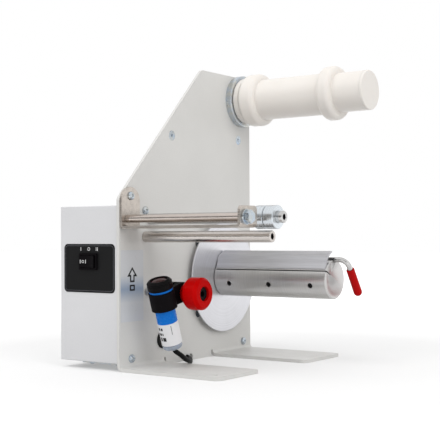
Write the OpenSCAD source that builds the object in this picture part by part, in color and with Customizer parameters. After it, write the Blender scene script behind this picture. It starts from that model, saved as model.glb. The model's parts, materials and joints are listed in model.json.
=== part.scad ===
// Desk label dispenser: a bent frame plate carries a drive box on its left and, on its right,
// a free turning supply hub, a peel bracket with its roller, two guide bars, a driven rewind
// mandrel and a label sensor on a clamp.
// Axes: +X runs out of the plate along the shafts, +Y to the back, +Z up. The bench position
// has X = 0 on the plate's right face, Y = 0 on its front edge and Z = 0 on the table.

/* [Frame plate] */
// Thickness of the sheet that the plate and its feet are bent from
plate_t = 3; // [2:0.5:4]
// Depth of the plate, front edge to rear edge
plate_d = 208; // [200:1:230]
// Height of the plate's top edge above the table
plate_h = 281; // [270:1:300]
// Height where the slanted front edge starts
slant_low_z = 152.5; // [148:0.5:160]
// Depth where the slanted front edge reaches the top
slant_top_y = 124; // [110:1:140]
// Radius of the plate's outer corners
plate_corner_r = 6; // [2:1:10]
// Reach of the feet from the plate's right face
foot_l = 106; // [90:1:125]
// Width of the front foot
front_foot_w = 63; // [45:1:66]
// Width of the rear foot
rear_foot_w = 67.5; // [45:0.5:75]
// Inside radius of the bends between plate and feet
foot_bend_r = 3; // [1.5:0.5:5]
// Radius of the feet's outer corners
foot_corner_r = 6; // [2:1:12]
// Width of the relief cuts beside the bends
relief_w = 2.5; // [1.5:0.5:4]
// Width of the cable notch in the bottom edge
cable_notch_w = 12; // [11:0.5:16]
// Height of the cable notch
cable_notch_h = 6; // [5.5:0.5:9]
// Diameter of the blanking plug's head
plug_d = 16; // [14:0.5:17]
// Diameter of the hole for a bench screw in the front foot
foot_hole_d = 4.5; // [3:0.5:6]

/* [Drive box] */
// Width of the cover, plate to left wall
cover_w = 68; // [66:1:80]
// Height of the cover's top above the table
cover_top_z = 146; // [144:0.5:150]
// Height of the cover's underside above the table
cover_bottom_z = 6.6; // [6.2:0.1:7.4]
// Sheet thickness of the cover
cover_t = 1.5; // [1:0.1:2]
// Outside radius of the cover's folded edges
cover_edge_r = 1; // [0.5:0.5:4]
// Thickness of the service plate under the cover
service_t = 1.2; // [0.8:0.1:1.3]
// Width of the service plate
service_w = 44; // [40:1:50]
// Diameter of the power inlet's flange
inlet_d = 13; // [11:0.5:16]

/* [Control panel] */
// Width of the panel decal
decal_w = 60.5; // [50:0.5:62]
// Height of the panel decal
decal_h = 43.5; // [35:0.5:50]
// Height of the decal's middle above the table
decal_z = 90.3; // [85:0.1:95]
// Corner radius of the decal
decal_r = 4; // [1:0.5:6]
// Width of the switch bezel
bezel_w = 21; // [18:0.5:24]
// Height of the switch bezel
bezel_h = 15; // [12:0.5:17]
// Height of the switch's middle above the table
switch_z = 96.3; // [92:0.1:99]
// Width of the direction plate on the frame
sign_w = 31; // [20:1:33]
// Height of the direction plate
sign_h = 63.5; // [50:0.5:70]

/* [Peel bracket] */
// Sheet thickness of the bracket
bracket_t = 2.5; // [1.5:0.5:3]
// Depth of the bracket, front to back
bracket_d = 25; // [22:1:27]
// Length of the bracket outside its end tab
bracket_l = 127.5; // [120:0.5:135]
// Height of the shelf's underside above the table
shelf_z = 125.5; // [125:0.5:127]
// Height of the end tab above the shelf's underside
end_tab_h = 18; // [16:0.5:22]
// Height of the arched tab above the shelf's underside
arch_tab_h = 37; // [34:0.5:40]
// Inside radius of the bracket's bends
bracket_bend_r = 1.5; // [1:0.5:2.5]
// Diameter of the roller tube
roller_d = 7; // [6.8:0.1:8]
// Diameter of the bolt that carries the roller
peel_bolt_d = 6; // [5:0.1:6]
// Height of the roller's axis above the table
roller_z = 134.3; // [134:0.1:136]
// Distance of the roller's axis behind the plate's front edge
roller_y = 8.5; // [8.5:0.1:10]

/* [Guide bars] */
// Diameter of the upper guide shaft and of the lower guide bar
bar_d = 10; // [8:0.5:12]
// Length of the upper guide shaft
shaft_l = 143.5; // [138:0.1:150]
// Length of the lower guide bar
lower_bar_l = 135.9; // [120:0.1:145]
// Diameter of the threaded holes in the bars' ends
bar_hole_d = 5; // [4:0.1:5.5]
// Outside diameter of the set collars
collar_d = 20; // [16:0.5:24]
// Width of the inner set collar
inner_collar_w = 10; // [6:0.5:12]
// Width of the outer set collar
outer_collar_w = 10; // [6:0.5:10]

/* [Rewind mandrel] */
// Diameter of the mandrel's round bar
mandrel_d = 36.5; // [34:0.5:38]
// Distance of the mandrel's outer end from the plate
mandrel_end_x = 130.8; // [120:0.1:134]
// Chamfer on the mandrel's outer end
mandrel_chamfer = 1; // [0.5:0.5:2]
// Sheet thickness of the bent jaw
jaw_t = 1.5; // [1:0.1:2]
// Width of the slot under the jaw that takes the liner
liner_slot = 1.1; // [0.6:0.1:1.4]
// Diameter of the rewind flange
flange_d = 107.5; // [104:0.5:110]
// Thickness of the rewind flange
flange_t = 1.5; // [1:0.5:2]
// Diameter of the spindle
spindle_d = 12; // [10:0.5:12]
// Diameter of the holes for the set screws
set_hole_d = 5; // [4:0.5:6]
// Diameter of the liner rod
rod_d = 5; // [4:0.5:5]
// Diameter of the rod's grip
grip_d = 8; // [7:0.5:10]
// Length of the rod's grip
grip_l = 30; // [20:1:34]
// Travel of the liner rod when it is drawn out
rod_travel = 95; // [60:5:95]

/* [Drive] */
// Module of the gears
gear_module = 1.5; // [1.5:0.1:1.6]
// Teeth on the drive gear
gear_teeth = 40; // [36:2:42]
// Teeth on the motor pinion
pinion_teeth = 14; // [13:1:16]
// Face width of the gears
gear_w = 8; // [5:0.5:8]
// Diameter of the motor's gearbox
gearbox_d = 32; // [28:1:32]
// Length of the motor's gearbox
gearbox_l = 20; // [14:1:22]
// Diameter of the motor's can
motor_d = 30; // [26:1:32]
// Length of the motor's can
motor_l = 26; // [18:1:26]

/* [Supply hub] */
// Diameter of the backing disc
disc_d = 52; // [44:1:60]
// Thickness of the backing disc
disc_t = 6.5; // [4:0.5:8]
// Diameter of the hub between its rings
hub_d = 40.5; // [36:0.5:46]
// Diameter of the hub's inner end
hub_root_d = 46; // [42:1:50]
// Diameter of the hub's outer end
hub_end_d = 38; // [34:0.5:40]
// Diameter of the two rings
ring_d = 52.5; // [48:0.5:60]
// Distance of the hub's outer end from the plate
hub_end_x = 149; // [140:1:160]
// Diameter of the axle
axle_d = 10; // [8:0.5:12]

/* [Label sensor] */
// Diameter of the sensor's barrel
sensor_d = 18; // [12:1:18]
// Length of the sensor's barrel under the clamp ring
sensor_tail = 32.5; // [24:0.5:33]
// Height of the clamp ring along the sensor
clamp_h = 16; // [12:0.5:18]
// Wall of the clamp ring
clamp_wall = 2.4; // [2:0.1:4]
// Distance from the stud to the sensor's axis
clamp_reach = 21.6; // [20.6:0.1:26]
// Lean of the sensor, top to the front, in degrees
sensor_lean = 18.3; // [10:0.1:20]
// Distance of the sensor's axis from the plate
sensor_x = 35; // [33:0.5:40]
// Diameter of the clamp knob
knob_d = 28.6; // [24:0.1:32]
// Length of the clamp knob
knob_l = 23; // [18:1:26]
// Diameter of the sensor's cable
cable_d = 4.4; // [3.6:0.1:4.4]

/* [Hidden] */
$fn = 64;
fit = 0.05;
slack = 0.3;
seat = 0.2;
arc_steps = 8;
grub_d = 3;
far = 400;

// Places on the frame plate, as [Y, Z]
spindle_at = [152.3, 77.8];
motor_at = spindle_at - [gear_module * (gear_teeth + pinion_teeth) / 2, 0];
supply_at = [plate_d - 17, plate_h - 24.5];
shaft_at = [42.9, 134.4];
lower_bar_at = [36.3, 118.2];
roller_at = [roller_y, roller_z];
post_at = [38.3, 68.3];
sign_at = [1.8, 43];
arch_screw_at = [0.5 + bracket_d / 2, 154.6];
cover_screws_at = [
    [16.2, cover_bottom_z + 3.7], [plate_d - 13.7, cover_bottom_z + 3.7],
    [35.9, cover_top_z - 4], [plate_d - 13.7, cover_top_z - 4]
];
accessory_at = [[76.2, plate_h - 67.8], [plate_d - 20.7, plate_h - 64.2]];
foot_hole_at = [foot_l - 12, 13];
plug_at = [60.6, 23.4];
standoff_at = [for (y = [-36, 36], z = [-34, 34]) spindle_at + [y, z]];
bearing_screws_at = [for (a = [90, 210, 330]) spindle_at + 20 * [cos(a), sin(a)]];
motor_screw_r = gearbox_d / 2 - 4;
motor_screws_at = [for (a = [90, 210, 330]) motor_at + motor_screw_r * [cos(a), sin(a)]];
board_at = [32, 20];
board_size = [58, 56];
board_studs_at = [for (y = [4, board_size[0] - 4], z = [4, board_size[1] - 4]) board_at + [y, z]];

// Frame plate
bend_out_r = foot_bend_r + plate_t;
relief_h = bend_out_r + 0.5;
rear_foot_y = plate_d - rear_foot_w;
cable_notch_y = 101.4;
plug_neck_d = 11.6;
plug_neck_l = 5;
plug_lip = 0.5;

// Screws, as shank, head and head height
m3 = [3, 5.6, 2];
m4 = [4, 7.6, 2.4];
m5 = [5, 9.4, 2.8];
socket_share = 0.42;

// Drive box
cover_x = -plate_t - cover_w;
cover_y0 = 0.5;
cover_y1 = plate_d - 0.5;
cover_h = cover_top_z - cover_bottom_z;
lip_w = 9;
lip_l = 16;
burr_d = 6;
burr_l = 2;
wall_x = cover_x + cover_t;
service_d = 196;
service_x = -plate_t - 0.5 - service_w;
service_screws_at = [
    for (x = [service_x + 5, -plate_t - 9], y = [12, cover_y0 + service_d - 8]) [x, y]
];
inlet_at = [-36, 30];
inlet_l = 16;
vent_count = 6;
vent_pitch = 7;
vent_l = 34;
vent_w = 3;
vent_z = 75;
entry_x = [-26, -8.5];
entry_y = 109.2;
entry_w = 9;
grommet_t = 1.5;
grommet_lip = 1.2;

// Control panel
decal_t = 0.3;
decal_x = -35.6;
switch_x = -36;
switch_body_w = bezel_w - 1.4;
switch_body_h = bezel_h - 1.6;
switch_body_l = 15;
bezel_t = 1.8;
rocker_w = bezel_w - 4.8;
rocker_room = 0.9;
rocker_h = bezel_h - 4.4;
rocker_y = 1.4;
rocker_rise = 3.2;
rocker_dip = 1.6;
rocker_pin_d = 2;

// Peel bracket
bracket_y0 = 0.5;
bracket_out_r = bracket_bend_r + bracket_t;
tab_corner_r = 4;
peel_washer = [13, 2];
peel_head = [10, 4.3];
m6_nut = [10, 5];
m8_nut = [13, 6.5];
m5_nut = [8, 4];

// Guide bars
outer_collar_x = 127.5;
collar_gap = 0.4;
inner_collar_x = outer_collar_x - collar_gap - inner_collar_w;

// Rewind mandrel, its jaw's outer line as [Y, Z] from the axis, slot end to free lip
flange_x = 5;
flange_rear_d = 22;
flange_rear_gap = 0.8;
mandrel_x = flange_x + flange_t + 0.5;
flange_boss_d = 30;
jaw_x0 = mandrel_x + slack;
jaw_x1 = mandrel_end_x - 1.8;
jaw_line = [[-8.2, 4.9], [-16.1, 8.9], [-10.2, 21.8], [-2.2, 26.5]];
jaw_bend_r = 0.6;
rod_off = [0.2, mandrel_d / 2 + 0.25];
channel_d = rod_d + 0.5;
rod_x0 = mandrel_x + 14;
rod_x1 = 143.2;
rod_bend_r = 8;
rod_lean = 55.4;
grip_gap = 3;
spindle_x1 = mandrel_end_x - 10;
set_angle = 17;
set_screw_l = 7;
set_xs = [23.8, 68.8, 114.1];

// Drive
bearing_od = 28;
bearing_inner_d = 16;
bearing_w = 8;
housing_d = 34;
housing_flange_d = 48;
housing_flange_t = 4;
housing_l = 11;
gear_x = -plate_t - 63;
spindle_x0 = gear_x - 2;
clip_x = gear_x - 1.05;
bracket2_t = 2.5;
bracket2_x = gear_x + gear_w + 3.5;
standoff_d = 8;
board_x = wall_x + 6;
board_t = 1.6;
bracket2_edge = 3;
gearbox_boss_d = 15;
gearbox_hole_l = 6;
motor_shaft_d = 6;
pressure_angle = 20;
tooth_play = 0.12;
flank_steps = 4;

// Supply hub
hub_x = disc_t + seat;
ring1_x = [13, 31];
ring2_x = [102, 117];
ring_edge_r = 5;
cap_t = 3;
cap_plug_d = 22;
axle_end_x = hub_end_x - 11.5;
axle_thread_d = 8;
retainer_d = 16;

// Label sensor
ring_off = 2;
ring_r = sensor_d / 2 + clamp_wall;
ear_w = 13;
ear_slit = 2;
ear_end_r = 8.8;
ear_rise = 1.2;
post_d = 7;
post_l = sensor_x - ear_w / 2;
stud_d = 6;
flange_ring_d = sensor_d + 2.6;
flange_ring_h = 1.9;
head_d = sensor_d + 4.5;
head_h = 9;
lens_d = sensor_d - 3;
end_cap_h = 5;
gland_d = 6.4;
gland_turn = 75;
gland_l = 4.2;
knob_neck_d = 11.4;
knob_shoulder = [8.6, 2.5];
knob_cone_l = 9.5;
knob_edge = 2.4;
knob_recess_d = 12.6;
knob_recess_l = 8;
insert_gap = 0.4;
insert_set_back = 2;
insert_socket = [5, 4];

// Cable route, from the sensor's gland under the plate and up into the drive box
cable_route = [
    [35, 32.95, 19.35], [35, 34.3, 17.6], [35, 36.6, 16.1], [34.9, 39.8, 14.5], [34.6, 43.4, 12.7],
    [33.9, 47.4, 10.7], [32.8, 51.6, 8.8], [31.3, 56.2, 7.1], [29.4, 60.9, 6], [27.2, 65.2, 5],
    [24.6, 69.6, 3.7], [21.4, 74.4, 2.8],
    [17.8, 79.6, 2.6], [13.8, 85, 2.6], [9.4, 90.6, 2.6], [4.6, 96.2, 2.6], [-0.4, 101, 2.6],
    [-5.6, 105.4, 2.6], [-11.2, 108.2, 3.2], [-16.4, 109.2, 5.6],
    [-20.8, 108.8, 9.4], [-24.8, 107.4, 14], [-28.8, 104.8, 18.6], [-32.8, 101, 22.6],
    [-36.4, 96, 25.8], [-39.4, 89.8, 28], [-41.8, 83, 29.4], [-43.6, 76, 30], [-45, 70.2, 30],
    [-46.9, 65.8, 30], [-49.4, 63.2, 30], [-51.85, 63, 30]
];
cable_sides = 8;

// Middle of the outer box on the table, which becomes the origin
front_y = cover_y0 - decal_t - bezel_t - rocker_rise + rocker_dip;
mid_x = (hub_end_x + cover_x) / 2;
mid_y = (supply_at[0] + ring_d / 2 + front_y) / 2;

// ---- Shared shapes ----

// Moves a piece from the bench position to the origin at the middle of its footprint
module place() translate([-mid_x, -mid_y, 0]) children();

// Puts a shape's own X = 0 axis on a [Y, Z] place of the plate
module at(p, x = 0) translate([x, p[0], p[1]]) children();

// Round bar along X
module bar(d, l) rotate([0, 90, 0]) cylinder(d = d, h = l);

// Hexagonal bar along X, by its width across flats
module hex_bar(flats, l) rotate([0, 90, 0]) cylinder(d = flats / cos(30), h = l, $fn = 6);

// Flat outline drawn in Y and Z, made l thick along +X
module plate_yz(l) rotate([90, 0, 90]) linear_extrude(l) children();

// Body of revolution about X, from a profile of [radius, x] points
module turned() rotate([0, 90, 0]) rotate_extrude() children();

// Rectangle with round corners, its low corner on the origin
module round_rect(size, r) {
    translate([r, 0]) square([size[0] - 2 * r, size[1]]);
    translate([0, r]) square([size[0], size[1] - 2 * r]);
    for (x = [r, size[0] - r], y = [r, size[1] - r]) translate([x, y]) circle(r);
}

// Corner of an outline replaced by an arc of radius r
function corner_arc(a, b, c, r) =
    let (
        u = (a - b) / norm(a - b),
        v = (c - b) / norm(c - b),
        half = acos(u * v) / 2,
        m = b + (u + v) / norm(u + v) * r / sin(half),
        p = b + u * r / tan(half) - m,
        q = b + v * r / tan(half) - m,
        from = atan2(p[1], p[0]),
        turn = (atan2(q[1], q[0]) - from + 540) % 360 - 180
    )
    [for (i = [0:arc_steps]) m + r * [cos(from + turn * i / arc_steps), sin(from + turn * i / arc_steps)]];

// Outline from [x, y, radius] corners
function rounded(corners) =
    let (n = len(corners))
    [
        for (i = [0:n - 1])
            let (
                a = corners[(i + n - 1) % n],
                b = corners[i],
                c = corners[(i + 1) % n]
            )
            each b[2] > 0
                ? corner_arc([a[0], a[1]], [b[0], b[1]], [c[0], c[1]], b[2])
                : [[b[0], b[1]]]
    ];

// Quarter of a bend, drawn in its own plane between two radii
module quarter_bend(r_in, r_out) {
    intersection() {
        difference() {
            circle(r_out);
            circle(r_in);
        }
        translate([-r_out, -r_out]) square(r_out);
    }
}

// Domed screw with a hexagonal socket, its seat on X = 0 and its shank along -X
module dome_screw(size, l) {
    r = size[1] / 2;
    difference() {
        union() {
            turned() polygon(concat(
                [[0, 0], [r, 0], [r, size[2] * 0.25]],
                [for (i = [1:4]) [r * (1 - 0.11 * i * i / 4), size[2] * (0.25 + 0.75 * i / 4)]],
                [[0, size[2]]]
            ));
            translate([-l, 0, 0]) bar(size[0], l);
        }
        translate([size[2] * 0.35, 0, 0]) hex_bar(size[1] * socket_share, size[2]);
    }
}

// Countersunk screw with a hexagonal socket, its face on X = 0 and its shank along -X
module flush_screw(size, l) {
    r = size[1] / 2;
    s = size[0] / 2;
    difference() {
        turned() polygon([[0, -l], [s, -l], [s, s - r], [r, -0.2], [r, 0], [0, 0]]);
        translate([-size[2] * 0.8, 0, 0]) hex_bar(size[0] * 0.62, size[2]);
    }
}

// Cone that a flush screw sits in, with its clearance
module countersink(size) {
    r = size[1] / 2 + 0.05;
    s = size[0] / 2;
    turned() polygon([[0, s - r], [s, s - r], [r, -0.2], [r, 1], [0, 1]]);
}

// Nut along X with its bore
module nut(size, d) {
    difference() {
        hex_bar(size[0], size[1]);
        translate([-1, 0, 0]) bar(d, size[1] + 2);
    }
}

// ---- Frame plate ----

module plate_outline() {
    difference() {
        polygon(rounded([
            [0, bend_out_r, 0], [front_foot_w, bend_out_r, 0],
            [front_foot_w, relief_h, 0], [front_foot_w + relief_w, relief_h, 0],
            [front_foot_w + relief_w, 0, 0], [rear_foot_y - relief_w, 0, 0],
            [rear_foot_y - relief_w, relief_h, 0], [rear_foot_y, relief_h, 0],
            [rear_foot_y, bend_out_r, 0], [plate_d, bend_out_r, 0],
            [plate_d, plate_h, plate_corner_r], [slant_top_y, plate_h, plate_corner_r],
            [0, slant_low_z, plate_corner_r]
        ]));
        translate([cable_notch_y - cable_notch_w / 2, -cable_notch_h])
            round_rect([cable_notch_w, 2 * cable_notch_h], cable_notch_h / 2);
    }
}

module foot(y, w) {
    translate([foot_bend_r, y + w, bend_out_r]) rotate([90, 0, 0])
        linear_extrude(w) quarter_bend(foot_bend_r, bend_out_r);
    translate([foot_bend_r, y, 0]) linear_extrude(plate_t) {
        square([foot_l - foot_bend_r - foot_corner_r, w]);
        translate([0, foot_corner_r]) square([foot_l - foot_bend_r, w - 2 * foot_corner_r]);
        for (c = [foot_corner_r, w - foot_corner_r])
            translate([foot_l - foot_bend_r - foot_corner_r, c]) circle(foot_corner_r);
    }
}

module frame_plate() {
    color([0.83, 0.82, 0.79]) place() difference() {
        union() {
            translate([-plate_t, 0, 0]) plate_yz(plate_t) plate_outline();
            foot(0, front_foot_w);
            foot(rear_foot_y, rear_foot_w);
        }
        translate([foot_hole_at[0], foot_hole_at[1], -1]) cylinder(d = foot_hole_d, h = plate_t + 2);
        at(plug_at, -plate_t - 1) bar(plug_neck_d + 0.2, plate_t + 2);
        at(spindle_at, -plate_t - 1) bar(spindle_d + 1, plate_t + 2);
        at(supply_at, -plate_t - 1) bar(axle_thread_d + 0.2, plate_t + 2);
        at(roller_at, -plate_t - 1) bar(peel_bolt_d + 0.2, plate_t + 2);
        at(arch_screw_at, -plate_t - 1) bar(m4[0] + 0.2, plate_t + 2);
        for (p = cover_screws_at) at(p, -plate_t - 1) bar(m4[0] + 0.2, plate_t + 2);
        for (p = [shaft_at, lower_bar_at, post_at]) {
            at(p, -plate_t - 1) bar(m5[0] + 0.2, plate_t + 2);
            at(p, -plate_t) mirror([1, 0, 0]) countersink(m5);
        }
        for (p = accessory_at) {
            at(p, -plate_t - 1) bar(m5[0] + 0.2, plate_t + 2);
            at(p) countersink(m5);
        }
        for (p = standoff_at) {
            at(p, -plate_t - 1) bar(m4[0] + 0.2, plate_t + 2);
            at(p) countersink(m4);
        }
        for (p = bearing_screws_at) at(p, -plate_t - 1) bar(m3[0], plate_t);
    }
}

module blanking_plug() {
    r = plug_d / 2;
    n = plug_neck_d / 2;
    color([0.06, 0.06, 0.06]) place() at(plug_at) turned() polygon(rounded([
        [0, 2.2, 0], [r, 2.2, 1.2], [r, 0, 0], [n, 0, 0], [n, -plate_t, 0], [n + plug_lip, -plate_t - plug_lip, 0],
        [n - 1, -plug_neck_l, 0], [0, -plug_neck_l, 0]
    ]));
}

// ---- Drive box ----

module cover_block(inset, x1) {
    size = [x1 - cover_x - inset, cover_y1 - cover_y0 - 2 * inset];
    r = max(cover_edge_r - inset, 0.5);
    intersection() {
        translate([cover_x + inset, cover_y0 + inset, cover_bottom_z + inset])
            linear_extrude(cover_h - 2 * inset) round_rect([size[0] + 2 * r, size[1]], r);
        translate([cover_x + inset, cover_y0 + inset, cover_bottom_z + inset])
            plate_yz(size[0]) round_rect([size[1], cover_h - 2 * inset], r);
    }
}

module cover_lip(p, side) {
    // side is 1 where the lip hangs from the top wall and -1 where it stands on the bottom wall
    z = side > 0 ? cover_top_z - cover_t - lip_w : cover_bottom_z + cover_t;
    translate([-plate_t - cover_t, p[0] - lip_l / 2, z]) cube([cover_t, lip_l, lip_w]);
    at(p, -plate_t - cover_t - burr_l) bar(burr_d, burr_l);
}

module cable_entry(grow, h) {
    translate([entry_x[0] - grow, entry_y - entry_w / 2 - grow, 0]) linear_extrude(h)
        round_rect([entry_x[1] - entry_x[0] + 2 * grow, entry_w + 2 * grow], entry_w / 2 + grow - 0.01);
}

module drive_cover() {
    color([0.86, 0.86, 0.87]) place() difference() {
        union() {
            difference() {
                cover_block(0, -plate_t);
                cover_block(cover_t, -plate_t + 1);
            }
            for (i = [0:3]) cover_lip(cover_screws_at[i], i < 2 ? -1 : 1);
            for (p = board_studs_at) at(p, wall_x - 0.5) bar(5, board_x - wall_x + 0.5);
        }
        for (p = cover_screws_at) at(p, -plate_t - cover_t - burr_l - 1) bar(m4[0] + 0.1, 10);
        for (p = board_studs_at) at(p, wall_x + 1) bar(m3[0] + 0.1, far);
        translate([switch_x - switch_body_w / 2 - 0.1, -1, switch_z - switch_body_h / 2 - 0.1])
            cube([switch_body_w + 0.2, 6, switch_body_h + 0.2]);
        translate([inlet_at[0], cover_y1 + 1, inlet_at[1]]) rotate([90, 0, 0])
            cylinder(d = inlet_d - 2.8, h = 6);
        for (i = [0:vent_count - 1])
            translate([switch_x - vent_l / 2, cover_y1 + 1, vent_z + i * vent_pitch])
                rotate([90, 0, 0]) linear_extrude(6) round_rect([vent_l, vent_w], vent_w / 2 - 0.01);
        translate([0, 0, cover_bottom_z - 1]) cable_entry(0, 4);
        for (p = service_screws_at) translate([p[0], p[1], cover_bottom_z - 1])
            cylinder(d = m3[0] + 0.1, h = 4);
    }
}

module service_plate() {
    color([0.80, 0.80, 0.80]) place() difference() {
        translate([service_x, cover_y0 + 2, cover_bottom_z - service_t]) linear_extrude(service_t)
            round_rect([service_w, service_d], 3);
        translate([0, 0, cover_bottom_z - service_t - 1]) cable_entry(0, 4);
        for (p = service_screws_at) translate([p[0], p[1], cover_bottom_z - service_t - 1])
            cylinder(d = m3[0] + 0.2, h = 4);
    }
}

module cable_grommet() {
    z0 = cover_bottom_z - service_t;
    color([0.12, 0.12, 0.12]) place() difference() {
        union() {
            translate([0, 0, z0]) cable_entry(-0.05, service_t + cover_t + grommet_lip);
            translate([0, 0, cover_bottom_z + cover_t]) cable_entry(1.2, grommet_lip);
        }
        translate([0, 0, z0 - 1]) cable_entry(-grommet_t, 10);
    }
}

module power_inlet() {
    flange_t2 = 2;
    body_d = inlet_d - 3;
    color([0.10, 0.10, 0.11]) place() translate([inlet_at[0], cover_y1 + flange_t2, inlet_at[1]])
        rotate([90, 0, 0]) difference() {
            union() {
                cylinder(d = inlet_d, h = flange_t2);
                cylinder(d = body_d, h = inlet_l);
                translate([0, 0, flange_t2 + cover_t]) cylinder(d = (inlet_d + 1) / cos(30), h = 2.5, $fn = 6);
            }
            difference() {
                translate([0, 0, -1]) cylinder(d = 5.6, h = 11);
                cylinder(d = 2, h = 10);
            }
        }
}

module control_board() {
    color([0.10, 0.35, 0.16]) place() difference() {
        at(board_at, board_x) plate_yz(board_t) square(board_size);
        for (p = board_studs_at) at(p, board_x - 1) bar(m3[0] + 0.2, board_t + 2);
    }
}

module board_parts() {
    x = board_x + board_t;
    color([0.16, 0.17, 0.20]) place() at(board_at, x) {
        // relay, timer chip, regulator with its fins, and the terminal block
        translate([0, 8, 34]) cube([14, 15, 12]);
        translate([0, 30, 30]) cube([3.2, 10, 8]);
        for (i = [0:3]) translate([0, 32 + i * 4, 42]) cube([12, 1.6, 9]);
        translate([0, 32, 42]) cube([2, 13.6, 9]);
        translate([0, 10, 6]) difference() {
            cube([10, 30, 8]);
            for (i = [0:5]) translate([6, 2.5 + i * 5, 4]) bar(3, 5);
        }
        // smoothing capacitors
        for (y = [12, 24]) at([y, 24]) bar(8, 13);
    }
}

// ---- Control panel ----

module control_decal() {
    color([0.07, 0.07, 0.08]) place() translate([decal_x - decal_w / 2, cover_y0, decal_z - decal_h / 2])
        rotate([90, 0, 0]) linear_extrude(decal_t) difference() {
            round_rect([decal_w, decal_h], decal_r);
            translate([
                switch_x - decal_x + decal_w / 2 - switch_body_w / 2 - 0.1,
                switch_z - decal_z + decal_h / 2 - switch_body_h / 2 - 0.1
            ]) square([switch_body_w + 0.2, switch_body_h + 0.2]);
        }
}

module switch_body() {
    y0 = cover_y0 - decal_t;
    color([0.05, 0.05, 0.05]) place() translate([switch_x, 0, switch_z]) difference() {
        union() {
            translate([-bezel_w / 2, y0, -bezel_h / 2]) rotate([90, 0, 0])
                linear_extrude(bezel_t) round_rect([bezel_w, bezel_h], 1.2);
            translate([-switch_body_w / 2, y0, -switch_body_h / 2])
                cube([switch_body_w, switch_body_l, switch_body_h]);
            for (x = [-6, 0, 6]) translate([x - 0.4, y0 + switch_body_l, -2.4]) cube([0.8, 7, 4.8]);
        }
        translate([-rocker_w / 2 - rocker_room, -5, -rocker_h / 2 - slack])
            cube([rocker_w + 2 * rocker_room, 11, rocker_h + 2 * slack]);
        translate([0, rocker_y, 0])
            cylinder(d = rocker_pin_d + 2 * fit, h = rocker_h + 2 * slack + 1.4, center = true);
    }
}

module switch_rocker() {
    w = rocker_w / 2;
    tip_y = cover_y0 - decal_t - bezel_t - rocker_rise + rocker_dip;
    color([0.08, 0.08, 0.08]) place() translate([switch_x, 0, switch_z]) {
        translate([0, 0, -rocker_h / 2]) linear_extrude(rocker_h) polygon(concat(
            [for (i = [-6:6]) [w * i / 6, tip_y + rocker_dip * 0.8 * (1 - i * i / 36)]],
            [[w - 0.8, rocker_y + 1.6], [2, rocker_y + 3], [-2, rocker_y + 3], [-w + 0.8, rocker_y + 1.6]]
        ));
        translate([0, rocker_y, 0])
            cylinder(d = rocker_pin_d, h = rocker_h + 2 * slack + 1.2, center = true);
    }
}

module direction_plate() {
    color([0.72, 0.74, 0.78]) place() at(sign_at) plate_yz(decal_t) round_rect([sign_w, sign_h], 1);
}

// ---- Peel bracket and its roller ----

module peel_bracket() {
    top = shelf_z + bracket_t;
    in_x = bracket_l - bracket_t;
    arch_r = bracket_d / 2;
    color([0.66, 0.63, 0.60]) place() difference() {
        translate([0, bracket_y0, shelf_z]) {
            translate([bracket_out_r, 0, 0]) cube([bracket_l - 2 * bracket_out_r, bracket_d, bracket_t]);
            for (side = [0, 1])
                translate([side * bracket_l, bracket_d, 0]) mirror([side, 0, 0])
                    translate([bracket_out_r, 0, bracket_out_r]) rotate([90, 0, 0])
                        linear_extrude(bracket_d) quarter_bend(bracket_bend_r, bracket_out_r);
            translate([0, 0, bracket_out_r]) plate_yz(bracket_t) {
                square([bracket_d, arch_tab_h - arch_r - bracket_out_r]);
                translate([arch_r, arch_tab_h - arch_r - bracket_out_r]) circle(arch_r);
            }
            translate([in_x, 0, bracket_out_r]) plate_yz(bracket_t) {
                square([bracket_d, end_tab_h - bracket_out_r - tab_corner_r]);
                translate([tab_corner_r, 0])
                    square([bracket_d - 2 * tab_corner_r, end_tab_h - bracket_out_r]);
                for (y = [tab_corner_r, bracket_d - tab_corner_r])
                    translate([y, end_tab_h - bracket_out_r - tab_corner_r]) circle(tab_corner_r);
            }
        }
        at(roller_at, -1) bar(peel_bolt_d + 0.2, bracket_l + 2);
        at(arch_screw_at, -1) bar(m4[0] + 0.2, bracket_t + 2);
    }
}

module peel_bolt() {
    x1 = bracket_l + peel_washer[1];
    color([0.78, 0.79, 0.80]) place() at(roller_at) {
        translate([-plate_t - m6_nut[1] - 2, 0, 0]) bar(peel_bolt_d, x1 + plate_t + m6_nut[1] + 2);
        intersection() {
            translate([x1, 0, 0]) hex_bar(peel_head[0], peel_head[1]);
            translate([x1, 0, 0]) turned() polygon([
                [0, 0], [peel_head[0] * 0.58, 0], [peel_head[0] * 0.58, peel_head[1] - 0.6],
                [peel_head[0] * 0.5, peel_head[1]], [0, peel_head[1]]
            ]);
        }
    }
}

module peel_washer() {
    color([0.70, 0.71, 0.72]) place() at(roller_at, bracket_l) difference() {
        bar(peel_washer[0], peel_washer[1]);
        translate([-1, 0, 0]) bar(peel_bolt_d + 0.2, peel_washer[1] + 2);
    }
}

module peel_roller() {
    l = bracket_l - 2 * bracket_t - 2 * slack;
    color([0.70, 0.66, 0.63]) place() at(roller_at, bracket_t + slack) difference() {
        bar(roller_d, l);
        translate([-1, 0, 0]) bar(peel_bolt_d + 2 * fit, l + 2);
    }
}

// ---- Guide bars and set collars ----

module guide_bar(p, l) {
    at(p) difference() {
        turned() polygon([
            [0, 0], [bar_d / 2, 0], [bar_d / 2, l - 0.6], [bar_d / 2 - 0.6, l], [0, l]
        ]);
        translate([l - 12, 0, 0]) bar(bar_hole_d, 13);
        translate([-1, 0, 0]) bar(m5[0] + 0.1, 13);
    }
}

module guide_shaft() {
    color([0.80, 0.81, 0.83]) place() guide_bar(shaft_at, shaft_l);
}

module lower_guide_bar() {
    color([0.72, 0.71, 0.71]) place() guide_bar(lower_bar_at, lower_bar_l);
}

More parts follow.
